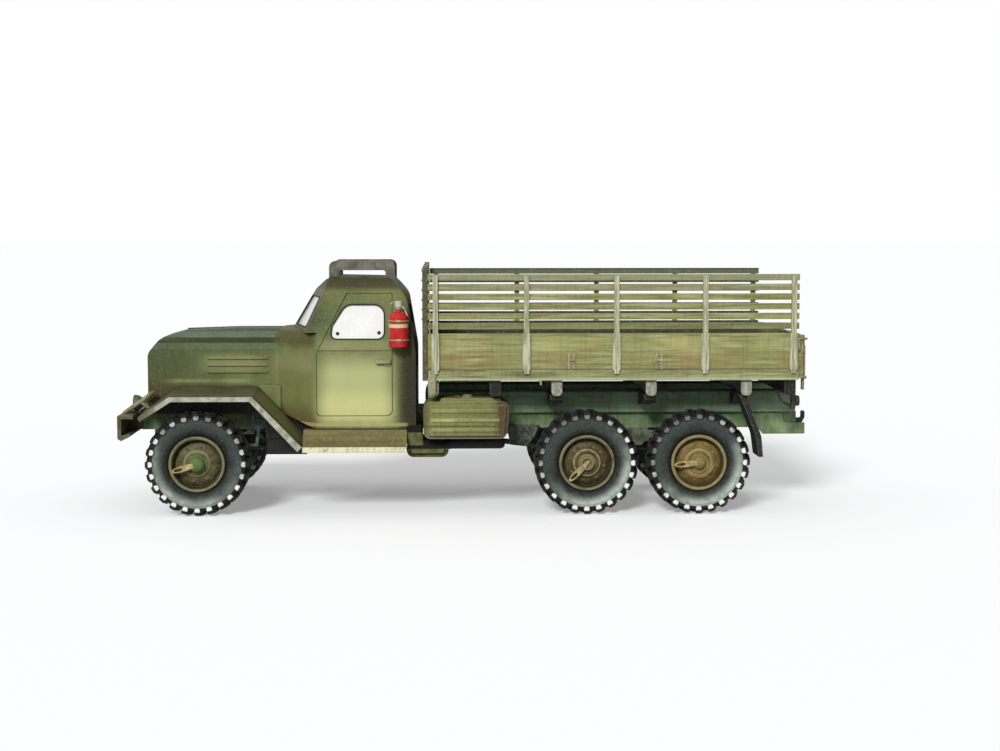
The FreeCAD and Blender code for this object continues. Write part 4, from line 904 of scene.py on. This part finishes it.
print("axle height", round(AXLE_Z, 2), "half track", round(HALF_TRACK, 2),
      "vertices of a tyre", len(tyre.data.vertices))

# %% [markdown]
# ## Bars and plates
# Everything that is left is flat or round stock: brackets, straps, handles and wire. A plate is an
# outline with a thickness and a rounded edge, since a painted edge is never knife sharp. A bar is
# a ring of points that follows a bent line. Both start from outlines whose corners are rounded.

# %% Rounded corners, plates and bars
def bent(corners, radius=0, steps=5, closed=False):
    """A line whose corners are bent to a radius. A corner may also be (point, its own radius)."""
    places, sizes = [], []
    for corner in corners:
        own = len(corner) == 2 and isinstance(corner[0], tuple)
        places.append(Vector(corner[0] if own else corner))
        sizes.append(corner[1] if own else radius)
    points, count = [], len(places)
    for i, here in enumerate(places):
        ways = [(other - here).normalized()
                for other in (places[i - 1], places[(i + 1) % count])]
        if not sizes[i] or (not closed and i in (0, count - 1)) or ways[0].dot(ways[1]) < -0.999:
            points.append(here)
            continue
        half = ways[0].angle(ways[1]) / 2
        middle = here + (ways[0] + ways[1]).normalized() * (sizes[i] / math.sin(half))
        start, end = [here + way * (sizes[i] / math.tan(half)) - middle for way in ways]
        points += [middle + start.slerp(end, k / steps) * sizes[i] for k in range(steps + 1)]
    return points


def rect(a_low, a_high, b_low, b_high):
    """The corners of a rectangle."""
    return [(a_low, b_low), (a_high, b_low), (a_high, b_high), (a_low, b_high)]


def plate(outline, low, high, across="y", rounding=0.12, segments=2, bend=0, steps=4):
    """A flat shape: an outline in two directions that reaches across the third."""
    place = {"x": lambda a, b, c: (c, a, b), "y": lambda a, b, c: (a, c, b)}[across]
    if bend:
        outline = bent(outline, bend, steps, closed=True)
    shape = skin([[place(p[0], p[1], c) for p in outline] for c in (low, high)])
    bmesh.ops.recalc_face_normals(shape, faces=shape.faces)
    if rounding:
        sharp = [e for e in shape.edges if e.calc_face_angle(0) > 0.6]
        bmesh.ops.bevel(shape, geom=sharp, offset=rounding, segments=segments, affect="EDGES")
    return mesh_of(shape, 40)


def block(x0, x1, y0, y1, z0, z1, rounding=0.12):
    return plate(rect(x0, x1, z0, z1), y0, y1, "y", rounding)


def bar_along(points, radius, bend=0, closed=False, sides=10):
    """A round bar through points, with bent corners and rounded ends."""
    path = bent([tuple(p) for p in points], bend, closed=closed)
    last = len(path) - 1
    side = (path[1] - path[0]).orthogonal().normalized()
    rings = []
    for i, point in enumerate(path):
        after = path[(i + 1) % len(path)] if closed else path[min(i + 1, last)]
        before = path[i - 1] if closed else path[max(i - 1, 0)]
        ahead = (after - before).normalized()
        side = (side - ahead * side.dot(ahead)).normalized()
        up = ahead.cross(side)
        places, end = [(point, radius)], ahead * radius * 0.3
        if not closed and i == 0:
            places.insert(0, (point - end, radius * 0.7))
        if not closed and i == last:
            places.append((point + end, radius * 0.7))
        rings += [[middle + (side * math.cos(turn) + up * math.sin(turn)) * size
                   for turn in turns(sides)] for middle, size in places]
    return mesh_of(skin(rings, closed), 45)


def warped(mesh, place):
    """A copy of a mesh whose every point goes where the function says."""
    copy = mesh.copy()
    for vertex in copy.vertices:
        vertex.co = place(*vertex.co)
    return copy


def two_sided(meshes):
    """Left-hand meshes and their mirror images."""
    return list(meshes) + [moved(mesh, mirror=True) for mesh in meshes]


def fitted(name, *groups, slot="olive_body", replaced=()):
    """One piece of the chassis from (paint, meshes) groups, with x from the front axle."""
    parts = [(moved(mesh, x=LEAD), paint) for paint, meshes in groups for mesh in meshes]
    return piece(name, parts, "chassis", replaced)


print("plates and bars ready")

# %% [markdown]
# ## Window glass
# The model's windows are thin clear plastic sheets behind the openings. They have gone milky with
# age and matt varnish, and their near-white colour is also a painted reflection of the white
# ground, so little shows through them. The door's side leans inwards above the belt and the two
# screens slope back, so a flat pane is made first and each point is then moved on to the slanted
# surface.

# %% Panes
def pane_plastic(name, milk_and_reflection):
    p = Paint(name)
    haze = p.clouds(6, 3, 0.4)
    scratches = p.clouds(0.5, 4, 0.1, 0.62, (1, 1, 0.12))
    # dirt and painted shade in the pane's corners
    dirt_and_shade = p.band(p.corner(1.4), 0.35, 0.9, 0, 0.5)
    # near white: partly the plastic's milky haze, partly a painted reflection of the white ground
    p.base(haze, (244, 246, 240), (252, 252, 250))
    p.lay((150, 142, 112), dirt_and_shade)
    cover = p.math("ADD", milk_and_reflection, p.mask(0.12, p.math("ADD", scratches, dirt_and_shade)))
    return p.coat(p.band(haze, 0, 1, 0.1, 0.22), Alpha=cover)


def on_door(x, y, z):
    """From a flat sheet to the leaning side of the cab."""
    return x, y - 24 + 3.4 * (z - 44.5) / 16.8, z


def on_screen(x, y, z):
    """From a flat sheet across the cab to the two slanted halves of the windscreen."""
    share = (z - 48.5) / 16.9
    foot, head = 23.3 + 7.2 * abs(y) / 30, 33.4 + 4.6 * abs(y) / 30
    return x + foot + (head - foot) * share, y, z


def on_back(x, y, z):
    return x + 59.4 - 2.5 * (z - 43.6) / 15.5, y, z


def window_line(grow=0):
    g = grow
    return bent([((36 - g, 47.9 - g), 1.5 + g), ((36.5 - g, 51.5), 1.5 + g),
                 ((40.2 - g * 0.6, 57.3 + g), 3.2 + g), ((50.8 + g, 57.3 + g), 3 + g),
                 ((50.8 + g, 47.9 - g), 1.9 + g)], 0, 7, True)


milky_reflection = pane_plastic("milky_pane", 0.95)
clear = pane_plastic("screen_pane", 0.88)
door_pane = warped(plate(window_line(0.4), 0.4, 0.65, "y", 0), on_door)
screen_line = bent([(-1, 50.7), (-1, 59.5), (-18, 59.5), (-19.8, 50.7)], 0.6, 4, True)
screen_pane = warped(plate(screen_line, 0.5, 0.75, "x", 0), on_screen)
back_line = bent([(-8.3, 50), (-8.3, 57.1), (8.3, 57.1), (8.3, 50)], 1.2, 5, True)
back_pane = warped(plate(back_line, -0.7, -0.4, "x", 0), on_back)
fitted("window_panes", (milky_reflection, two_sided([door_pane])),
       (clear, two_sided([screen_pane]) + [back_pane]), slot="lamp")
print("panes: 5")

# %% [markdown]
# ## Rubber round the glass, and door fittings
# A dark bead runs round each window where the wash has settled in the moulded rubber. It is a bar
# that follows the window's own outline. The door also gets its lever on a small plate, and the
# two buffers that hold the pane.

# %% Window rubber and door fittings
rubber_bead = plain_paint("window_rubber", (26, 26, 20), (48, 48, 36), (110, 110, 84), 1.5,
                          wear=0.4)
fitting_paint = plain_paint("door_fittings", (96, 100, 66), (138, 138, 96), (196, 192, 148), 1.5,
                            wear=0.8)
screen_line = bent([(-1.3, 51), (-1.3, 59.2), (-17.6, 59.2), (-19.4, 51)], 0.6, 4, True)
back_line = bent([(-8, 50.3), (-8, 56.8), (8, 56.8), (8, 50.3)], 1.2, 5, True)
side_bead, front_bead, back_bead = [bar_along(line, 0.2, closed=True, sides=8) for line in (
    [on_door(a, -0.02, b) for a, b in window_line(0.02)],
    [on_screen(-0.02, a, b) for a, b in screen_line],
    [on_back(0.02, a, b) for a, b in back_line])]
buffers = [moved(spun(((0, 0.55), (0.3, 0.5), (0.45, 0.3), (0.5, 0), (0, 0)), 14),
                 *on_door(u, 0.42, z)) for u, z in ((38, 49.4), (49.3, 49.6))]
fitted("window_rubbers",
       (rubber_bead, two_sided([side_bead, front_bead] + buffers) + [back_bead]))
lever = plate([(48.4, 41.1), (48.4, 42.3), (52.5, 42.2), (52.5, 41.2)], -25.05, -24.55,
              rounding=0.15, bend=0.45, steps=5)
lever_plate = plate(rect(50.6, 52.7, 40.5, 42.9), -24.35, -23.9, bend=0.6, steps=5)
fitted("door_fittings", (olive, two_sided([lever, lever_plate])))
print("door fittings on both sides")

# %% [markdown]
# ## Headlamps and their guards
# A small lamp stands on the bumper in front of each wing, inside a slanted cage of round bars. The
# shell of the lamp is an outline turned about its axis, the lens is a shallow dome with a blank
# face, and the cage is one bent ring with cross bars between its sides.

# %% Lamps and cages
def ribbed(name, measure, ribs_per_mm, dark, light):
    """A paint with the moulded ribs of a lens, and the mask of those ribs."""
    p = Paint(name)
    ribs = p.band(p.math("FRACT", p.mask(p.measure(measure), ribs_per_mm)), 0.2, 0.8)
    p.base(ribs, dark, light)
    return p, ribs


p, ribs = ribbed("lamp_lens", "y", 1.6, (176, 176, 160), (222, 222, 208))
# dark wash and painted shade in the lens's corners
p.lay(WASH_AND_SHADE, p.band(p.corner(1), 0.3, 0.9, 0, 0.7))
lens_paint = p.coat(0.16, Normal=p.bump(ribs, 0.06), Specular_IOR_Level=0.7)
lamp_paint, guard_paint = sheet_paints["headlamps"], sheet_paints["lamp_guards"]
lamp_shell = spun(((0, 2.3), (1.72, 2.35), (1.74, 2.65), (1.95, 2.8), (2.14, 2.68), (2.2, 2.4),
                   (2.13, 2.1), (2.14, 1.85), (1.95, 1.3), (1.5, 0.65), (0.85, 0.18), (0, 0)), 32)
lamp_lens = spun(((0, 2.78), (0.6, 2.75), (1.2, 2.64), (1.76, 2.46), (1.76, 2.2), (0, 2.2)),
                 32)
BACK_X, LAMP_Y = -15.6, -18.6
shells = [moved(lamp_shell, z=30.2, **FRONT), bar_along([(-2, 0, 27.4), (-2, 0, 28.6)], 0.55),
          block(-3.2, -0.8, -1, 1, 27.45, 27.8, 0.1)]
shells, lenses = [[moved(part, BACK_X, LAMP_Y) for part in parts]
                  for parts in (shells, [moved(lamp_lens, z=30.2, **FRONT)])]
fitted("lamps", (lamp_paint, two_sided(shells)), (lens_paint, two_sided(lenses)), slot="lamp",
       replaced=["headlamps"])
low_x, high_x, low_z, high_z = -20.6, -13.4, 27.6, 32.7


def on_cage(across, share):
    return (low_x + (high_x - low_x) * share, LAMP_Y + across, low_z + (high_z - low_z) * share)


cage = [bar_along([on_cage(-3.2, 0), on_cage(-3.2, 1), on_cage(3.2, 1),
                   on_cage(3.2, 0)], 0.6, 0.9, closed=True)]
cage += [bar_along([on_cage(-3.2, share), on_cage(3.2, share)], 0.45)
         for share in (0.28, 0.52, 0.76)]
cage += [bar_along([on_cage(across, 0.02), on_cage(across, 0.98)], 0.4)
         for across in (-1.1, 1.1)]
cage += [bar_along([on_cage(across, 0.62), (-13, LAMP_Y + across, 28.4)], 0.34)
         for across in (-3.2, 3.2)]
fitted("lamp_cages", (guard_paint, two_sided(cage)), replaced=["lamp_guards"])
print("bars in one cage:", len(cage))

# %% [markdown]
# ## Bonnet and radiator
# Behind the slots of the nose stands the radiator: a dark core of thin upright tubes, which the
# mark tree sets in a row. Along the top of the bonnet runs a hinge made of short knuckles, set the
# same way.

# %% Marks, and a part at each
def repeated(part_mesh, marks, paint):
    """The part at each (point, facing), its own Z axis along the facing, as one mesh."""
    points, facings = zip(*marks)
    mesh = bpy.data.meshes.new("marks")
    mesh.from_pydata(points, [], [])
    way = mesh.attributes.new("facing", "FLOAT_VECTOR", "POINT")
    way.data.foreach_set("vector", [v for facing in facings for v in facing])
    part = linked("part", part_mesh)
    made = grown(mesh, mark_tree, part=part, paint=paint)
    bpy.data.objects.remove(part)
    return made


core_paint = plain_paint("radiator_core", (14, 14, 11), (34, 34, 26), (70, 68, 50), 1)
NOSE, TUBES = box_of("radiator_grille")[0].x, 26
tubes = repeated(block(-0.28, 0.28, -0.5, 0.5, 0, 10.6, 0.08),
                 [((NOSE + 2.2, 0.88 * k - 11, 31.2), (0, 0, 1)) for k in range(TUBES)],
                 core_paint)
bars = [block(NOSE + 1.6, NOSE + 3, -11.9, 11.9, z, z + 1, 0.15) for z in (30.4, 41.6)]
fitted("radiator_core", (core_paint, [tubes] + bars))
print("tubes in the core:", TUBES)

# %% [markdown]
# ## Bonnet hinge
# A row of hinge knuckles along the middle of the bonnet lets both halves fold up on the real
# lorry. The knuckles are one short barrel that the mark tree repeats along the ridge.

# %% Bonnet fittings
hinge_paint = plain_paint("hinge_paint", (92, 104, 74), (126, 134, 96), (186, 182, 138), 1.5,
                          wear=0.8)
KNUCKLES = 12
ridge_low, ridge_high = box_of("hood_top")
first, last = ridge_low.x + 7, ridge_high.x - 1
barrel = spun(((0, 0.9), (0.2, 0.88), (0.3, 0.75), (0.3, -0.75), (0.2, -0.88), (0, -0.9)), 10)
barrel = warped(barrel, lambda x, y, z: (x, z, y))
ridge = [((first + (last - first) * share, 0, ridge_high.z - 0.42 + 0.36 * share), (1, 0, 0.0001))
         for share in (k / (KNUCKLES - 1) for k in range(KNUCKLES))]
hinge_line = repeated(barrel, ridge, hinge_paint)
fitted("bonnet_fittings", (olive, [hinge_line]))
print("hinge knuckles:", KNUCKLES)

# %% [markdown]
# ## Bolts of the bed
# Every slat is bolted to every stake. One domed bolt with its washer is turned as an outline, and
# the mark tree sets it at each crossing, facing outwards: nine on a stake, on ten stakes. The
# headboard's posts get the same bolts.

# %% Bolts at every crossing
bolt_paint = plain_paint("bolt_paint", (126, 126, 92), (176, 174, 136), (222, 220, 186), 1,
                         wear=0.9, reach=0.8)
bolt = spun(((0, 0.34), (0.18, 0.31), (0.27, 0.2), (0.28, 0.1), (0.42, 0.08), (0.44, -0.1),
             (0, -0.1)), 10)
bolt = moved(bolt, **UP)
STAKES = (64.8, 89.3, 113.6, 137.6, 161.6)
PITCH, SINK = 2.62, 0.38  # from slat to slat, and of a bolt into its stake
STAKE_FACE, HEAD_X = -box_of("bed_sides")[0].y, box_of("headboard")[0].x
heights = [64.9 - PITCH * k for k in range(6)] + [48.3, 44.8, 41.3]
marks = [((x, sign * (STAKE_FACE - SINK), z), (0, sign, 0))
         for side, sign in SIDES for x in STAKES for z in heights]
marks += [((HEAD_X + 0.02, y, 66.85 - PITCH * k), (-1, 0, 0))
          for y in (-31.4, -10.7, 10.7, 31.4) for k in range(6)]
fitted("bed_bolts", (bolt_paint, [repeated(bolt, marks, bolt_paint)]), slot="bed_boards")
print("bolts:", len(marks))

# %% [markdown]
# ## Straps, latches and rear fittings
# Flat iron is what holds the rest of the bed: two pairs of short straps on the lower board, a
# bracket at the front corner, hooked latches that hold the tailgate, and its hinges below. Under
# the rear corners hang the lamps, each on a bent bracket, beside the black tow hooks.

# %% Iron of the bed
SIDE = -32.2
irons = [plate(rect(x - 0.28, x + 0.28, 40.2, 44.4), SIDE - 0.3, SIDE + 0.05, "y", 0.1, bend=0.25)
         for x in (100.8, 102.1, 124.4, 125.9)]
irons += [block(x - 0.75, x + 0.75, SIDE - 0.28, SIDE + 0.05, 42.3, 42.9, 0.1)
          for x in (101.45, 125.15)]
x = 63.9
irons += [plate([(x - 0.95, 39.9), (x + 0.95, 39.9), (x + 0.95, 33.6), (x + 0.4, 33.2),
                 (x - 0.4, 33.2), (x - 0.95, 33.6)], SIDE - 0.75, SIDE - 0.1, "y", 0.18,
                bend=0.3, steps=3),
          bar_along([(93.2, SIDE + 0.1, 37.4), (93.2, SIDE + 0.1, 36)], 0.32)]
gate_x = box_of("tailgate")[1].x
for y in (-30.2, -10.7):
    irons += [bar_along([(gate_x + 0.05, y - 1.4, 37.9), (gate_x + 0.05, y + 1.4, 37.9)], 0.5),
              plate(rect(y - 0.8, y + 0.8, 37.9, 46.5), gate_x - 0.15, gate_x + 0.25, "x", 0.1,
                    bend=0.5)]
irons.append(bar_along([(gate_x - 2.6, SIDE - 0.3, 48.3), (gate_x - 0.6, SIDE - 0.35, 48.4),
                        (gate_x + 0.35, SIDE + 0.3, 48.4), (gate_x + 0.3, SIDE + 1.6, 48.2)],
                       0.28, 0.5))
irons.append(bar_along([(gate_x - 1.9, SIDE - 0.3, 48.3), (gate_x - 1.9, SIDE - 0.45, 46.2),
                        (gate_x - 1.9, SIDE - 0.2, 45)], 0.24, 0.5))
fitted("bed_irons", (bolt_paint, two_sided(irons)), slot="bed_boards")

p, ribs = ribbed("tail_lamp_lens", "z", 1.8, (206, 206, 190), (240, 240, 228))
p.lay((150, 30, 26), z=(30.9, 31.1))
tail_glass = p.coat(0.2, Normal=p.bump(ribs, 0.05))
lamp = [plate([(-3.2, 36.8), (0.2, 36.8), (0.2, 28.4), (-0.9, 28.4), (-0.9, 34.4),
               (-3.2, 35.4)], -1.1, 1.1, bend=0.4),
        bar_along([(-5, 0, 34.2), (-3.4, 0, 30.6), (-0.8, 0, 29.4)], 0.35, 1.6)]
housing = spun(((0, 0.95), (1, 0.95), (1.25, 1.2), (1.45, 1.1), (1.5, 0.7), (1.42, 0.1),
                (1, 0), (0, 0)), 24)
glass = spun(((0, 1.32), (0.6, 1.3), (1.02, 1.16), (1.02, 0.9), (0, 0.9)), 24)
lamp, glass = [[moved(part, gate_x - 1.6, -25.5) for part in parts] for parts in
               (lamp + [moved(housing, 0.1, z=30.9, **BACK)], [moved(glass, 0.1, z=30.9, **BACK)])]
fitted("tail_lamps", (hook_steel, two_sided(lamp)),
       (tail_glass, two_sided(glass)), slot="lamp")
print("irons on each side:", len(irons))

# %% [markdown]
# ## Tanks and what hangs beside them
# The fuel tank is a pressed box with rounded corners and three soft swages along its face, and a
# step with the ribbed filler cap lies on top. Inside it, under the frame, hang the silencer's
# shell and a round air bottle, both near black as painted shade under the tank.

# %% Tanks
# painted shade: near black for the air bottle in the dark space under the tank
soot_paint = plain_paint("soot_paint", (10, 10, 10), (24, 24, 22), (44, 44, 40), 2)
tank_x, tank_end = 61.5, 84.9
tank = [plate([(tank_x, 21.1), (tank_x, 31.3), (tank_end, 31.3), (tank_end - 0.8, 21.1)],
              -30.4, -17.5, "y", 0.9, 4, 1.9),
        block(tank_x + 4.4, tank_end - 2.4, -28.9, -19.2, 30.6, 32.1, 0.3)]
for z, start, end in ((23.5, 2.4, 3.4), (26.2, 2, 3), (28.7, 2.4, 3.4)):
    tank.append(bar_along([(tank_x + start, -30, z), (tank_end - end, -30, z)], 0.72))
tank += [block(x, x + 1.6, -18, -11.5, 23.4, 25.4, 0.1) for x in (tank_x + 3, tank_end - 5.5)]
fitted("tanks", (sheet_paints["fuel_tanks"], two_sided(tank)), replaced=["fuel_tanks"])

cap = spun(((0, 1.75), (1, 1.72), (1.35, 1.5), (1.5, 1.1), (1.5, 0.5), (1.2, 0.45),
            (1.2, -0.1), (0, -0.1)), 24)
CAP_X, CAP_Y, GRIP = 73.5, -26, 1.47  # middle of the filler cap, and radius of its ribs
cap = moved(cap, CAP_X, CAP_Y, 31.25, **UP)
ribs = [((CAP_X + GRIP * math.cos(turn), CAP_Y + GRIP * math.sin(turn), 32.05),
         (math.cos(turn), math.sin(turn), 0)) for turn in turns(18)]
cap_grip = repeated(block(-0.12, 0.12, 0, 0.16, -0.3, 0.3, 0.04), ribs, fitting_paint)

shell = [plate(rect(56.8, 68.3, 15.5, 20), -25.7, -18.3, "y", 1.2, 4, 1.9, 5),
         block(56.8, 61.2, -25.2, -12.6, 19, 24.2, 0.4)]
fitted("silencer_shell", (sheet_paints["silencer"], shell))
bottle = spun(((0, 22.4), (0.9, 22.3), (1.35, 21.9), (1.6, 21.2), (1.6, 1.2), (1.35, 0.5),
               (0.9, 0.1), (0, 0)), 28)
bottle = [moved(bottle, tank_x + 0.2, -15.2, 18.2, **BACK)]
bottle += [block(x, x + 1.6, -16, -14.4, 18.6, 23.6, 0.1) for x in (tank_x + 3, tank_end - 5.5)]
fitted("air_bottle", (soot_paint, bottle))

cap_chain = bar_along([(72, -26, 32), (71, -25.4, 32.4), (69.6, -24.6, 32.3)], 0.18, 0.5)
fitted("tank_fittings", (fitting_paint, two_sided([cap, cap_grip, cap_chain])))
print("tanks: 2, caps: 2")

# %% [markdown]
# ## Splash plates, springs and steering
# Behind each front wheel a plate hangs from the frame, near black as painted shade behind the
# wheel, and an olive one closes the corner between bonnet, cowl and wing. Between tank and middle
# wheel a cast bracket holds the axle's rods. At the back the frame's rails end in plates that carry
# a low cross tube. Each spring is tied to its axle by bent bolts. Behind the front wheel the
# steering box hangs on the frame with its drop arm, and the drag link runs forward from it.

# %% Splash plates and rear end
cast_paint = plain_paint("cast_paint", (34, 36, 30), (104, 108, 98), (150, 152, 140), 0.9,
                         wear=0.4)
# near black paint that serves as painted shade for the splash plates
underseal = plain_paint("underseal", (16, 17, 13), (30, 31, 23), (64, 66, 50), 2, wear=0.3)
splash = plate([(17.5, 31), (17.3, 15), (28.6, 15), (30, 17.4), (30, 31)],
               -13.6, -13.1, "y", 0.1)
fitted("splash_plates", (underseal, two_sided([splash])), slot="frame_green")
corner_plate = plate([(15.2, 34.4), (15.2, 27), (21.6, 27), (21.6, 34.4)], -13.9, -13.4,
                     "y", 0.1)
fitted("cowl_corners", (olive, two_sided([corner_plate])))
rod_bracket = plate([(84.6, 23), (85.6, 17.4), (90.4, 16.9), (92.4, 19.5), (94, 23)],
                    -13.3, -12.7, "y", 0.15)
fitted("rod_brackets", (cast_paint, two_sided([rod_bracket])), slot="frame_green")
rear_end = plate([(152, 26.4), (162.2, 26.4), (163.2, 23.4), (168.9, 23.4), (168.9, 20.2),
                  (157, 20.2)], -12.8, -12.05, "y", 0.15)
cross_tube = bar_along([(167.3, -12.4, 21.8), (167.3, 12.4, 21.8)], 0.9)
fitted("rear_frame_ends", (frame_green, two_sided([rear_end]) + [cross_tube]),
       slot="frame_green")
print("splash plates and frame ends done")

# %% Spring bolts, steering box and drag link
u_bolts = []
for axle, low, high in (("front", 12.6, 20), ("mid", 12.4, 19), ("rear", 12.4, 19)):
    for x in (AXLE_X[axle] - 1.25, AXLE_X[axle] + 1.25):
        u_bolts.append(bar_along([(x, -12.75, low), (x, -12.75, high), (x, -9.85, high),
                                  (x, -9.85, low)], 0.28, 0.6))
gear_x = 15.2
steering_box = plate([(gear_x - 2.4, 23.4), (gear_x - 2, 28.6), (gear_x + 0.6, 29.6),
                      (gear_x + 2.6, 27.4), (gear_x + 2.2, 22.6), (gear_x - 0.6, 21.8)],
                     -14.2, -12, "y", 0.4, 3, 0.7)
drop_arm = [bar_along([(gear_x, -13.7, 24.6), (gear_x, -13.7, 21), (gear_x - 0.6, -13.7, 17.4)],
                      0.5, 1),
            bar_along([(gear_x, -13.4, 24.6), (gear_x, -14.4, 24.6)], 0.95)]
drag_link = bar_along([(gear_x - 0.6, -13.9, 17.6), (gear_x - 4.6, -13.9, 17.9),
                       (5.2, -14.6, 19.2)], 0.42, 2)
column = bar_along([(gear_x + 0.4, -12.9, 28.6), (gear_x + 4.6, -12.2, 33.6)], 0.62)
link_paint = plain_paint("steering_metal", (62, 78, 74), (112, 132, 126), (186, 196, 186), 1.5,
                         wear=0.8, reach=2)
fitted("spring_bolts", (drive_metal, two_sided(u_bolts)), slot="frame_green")
fitted("steering_gear", (link_paint, [steering_box, drag_link, column] + drop_arm),
       slot="frame_green")
print("u-bolts:", len(u_bolts) * 2)

# %% [markdown]
# ## Extinguisher and cab fittings
# The extinguisher hangs in two straps with clasps, and its valve has a lever and a short hose.
# Inside the cab stand a gear lever and two pedals, small shapes that show through the glass.

# %% Extinguisher fittings and levers
bottle_low, bottle_high = box_of("fire_extinguisher")
bottle_x, bottle_y = (bottle_low.x + bottle_high.x) / 2, bottle_low.y + 2.65
STRAP, bands = 2.72, []  # radius of a strap
for z in (bottle_low.z + 2, bottle_low.z + 7.2):
    ring = [(bottle_x + STRAP * math.cos(turn), bottle_y + STRAP * math.sin(turn), z)
            for turn in turns(32)]
    bands.append(bar_along(ring, 0.2, closed=True, sides=6))
    bands.append(block(bottle_x - 0.7, bottle_x + 0.7, bottle_low.y - 0.25, bottle_low.y + 0.2,
                       z - 0.35, z + 0.35, 0.12))
valve = [moved(bar_along(*bar), bottle_x, bottle_y, bottle_low.z + 11.4) for bar in (
    (((0, 0, 0), (-1.5, -0.3, 1), (-2.1, -0.4, 0.2)), 0.22, 0.4),
    (((0.3, 0, -0.4), (1.5, -0.5, -0.6), (2.3, -0.6, -2.6), (2.35, -0.6, -6)), 0.24, 0.7))]
valve_paint = plain_paint("valve_paint", (120, 126, 112), (196, 204, 188), (236, 236, 226), 1,
                          rough=(0.3, 0.5))
fitted("extinguisher_fittings", (bolt_paint, bands), (valve_paint, valve),
       slot="extinguisher_red")
knob = spun(((0, 0.9), (0.6, 0.68), (0.9, 0), (0.6, -0.68), (0, -0.9)), 14)
gear_lever = [bar_along([(38.2, 0.5, 27.3), (38, 0.5, 34), (39.6, 0.5, 39.5)], 0.32, 3),
              moved(knob, 39.8, 0.5, 40.1, **UP)]
pedals = []
for y in (-14.6, -7.6):
    pedals.append(bar_along([(29.4, y, 31), (31.8, y, 30.6)], 0.28))
    pedals.append(warped(block(-0.25, 0.25, -0.95, 0.95, -1.2, 1.2, 0.15),
                         lambda a, b, c: (32 + a + 0.4 * c, y + b, 30.7 + c)))
fitted("cab_levers", (black_plastic, gear_lever + pedals), slot="black_plastic")
print("fittings done")

# %% [markdown]
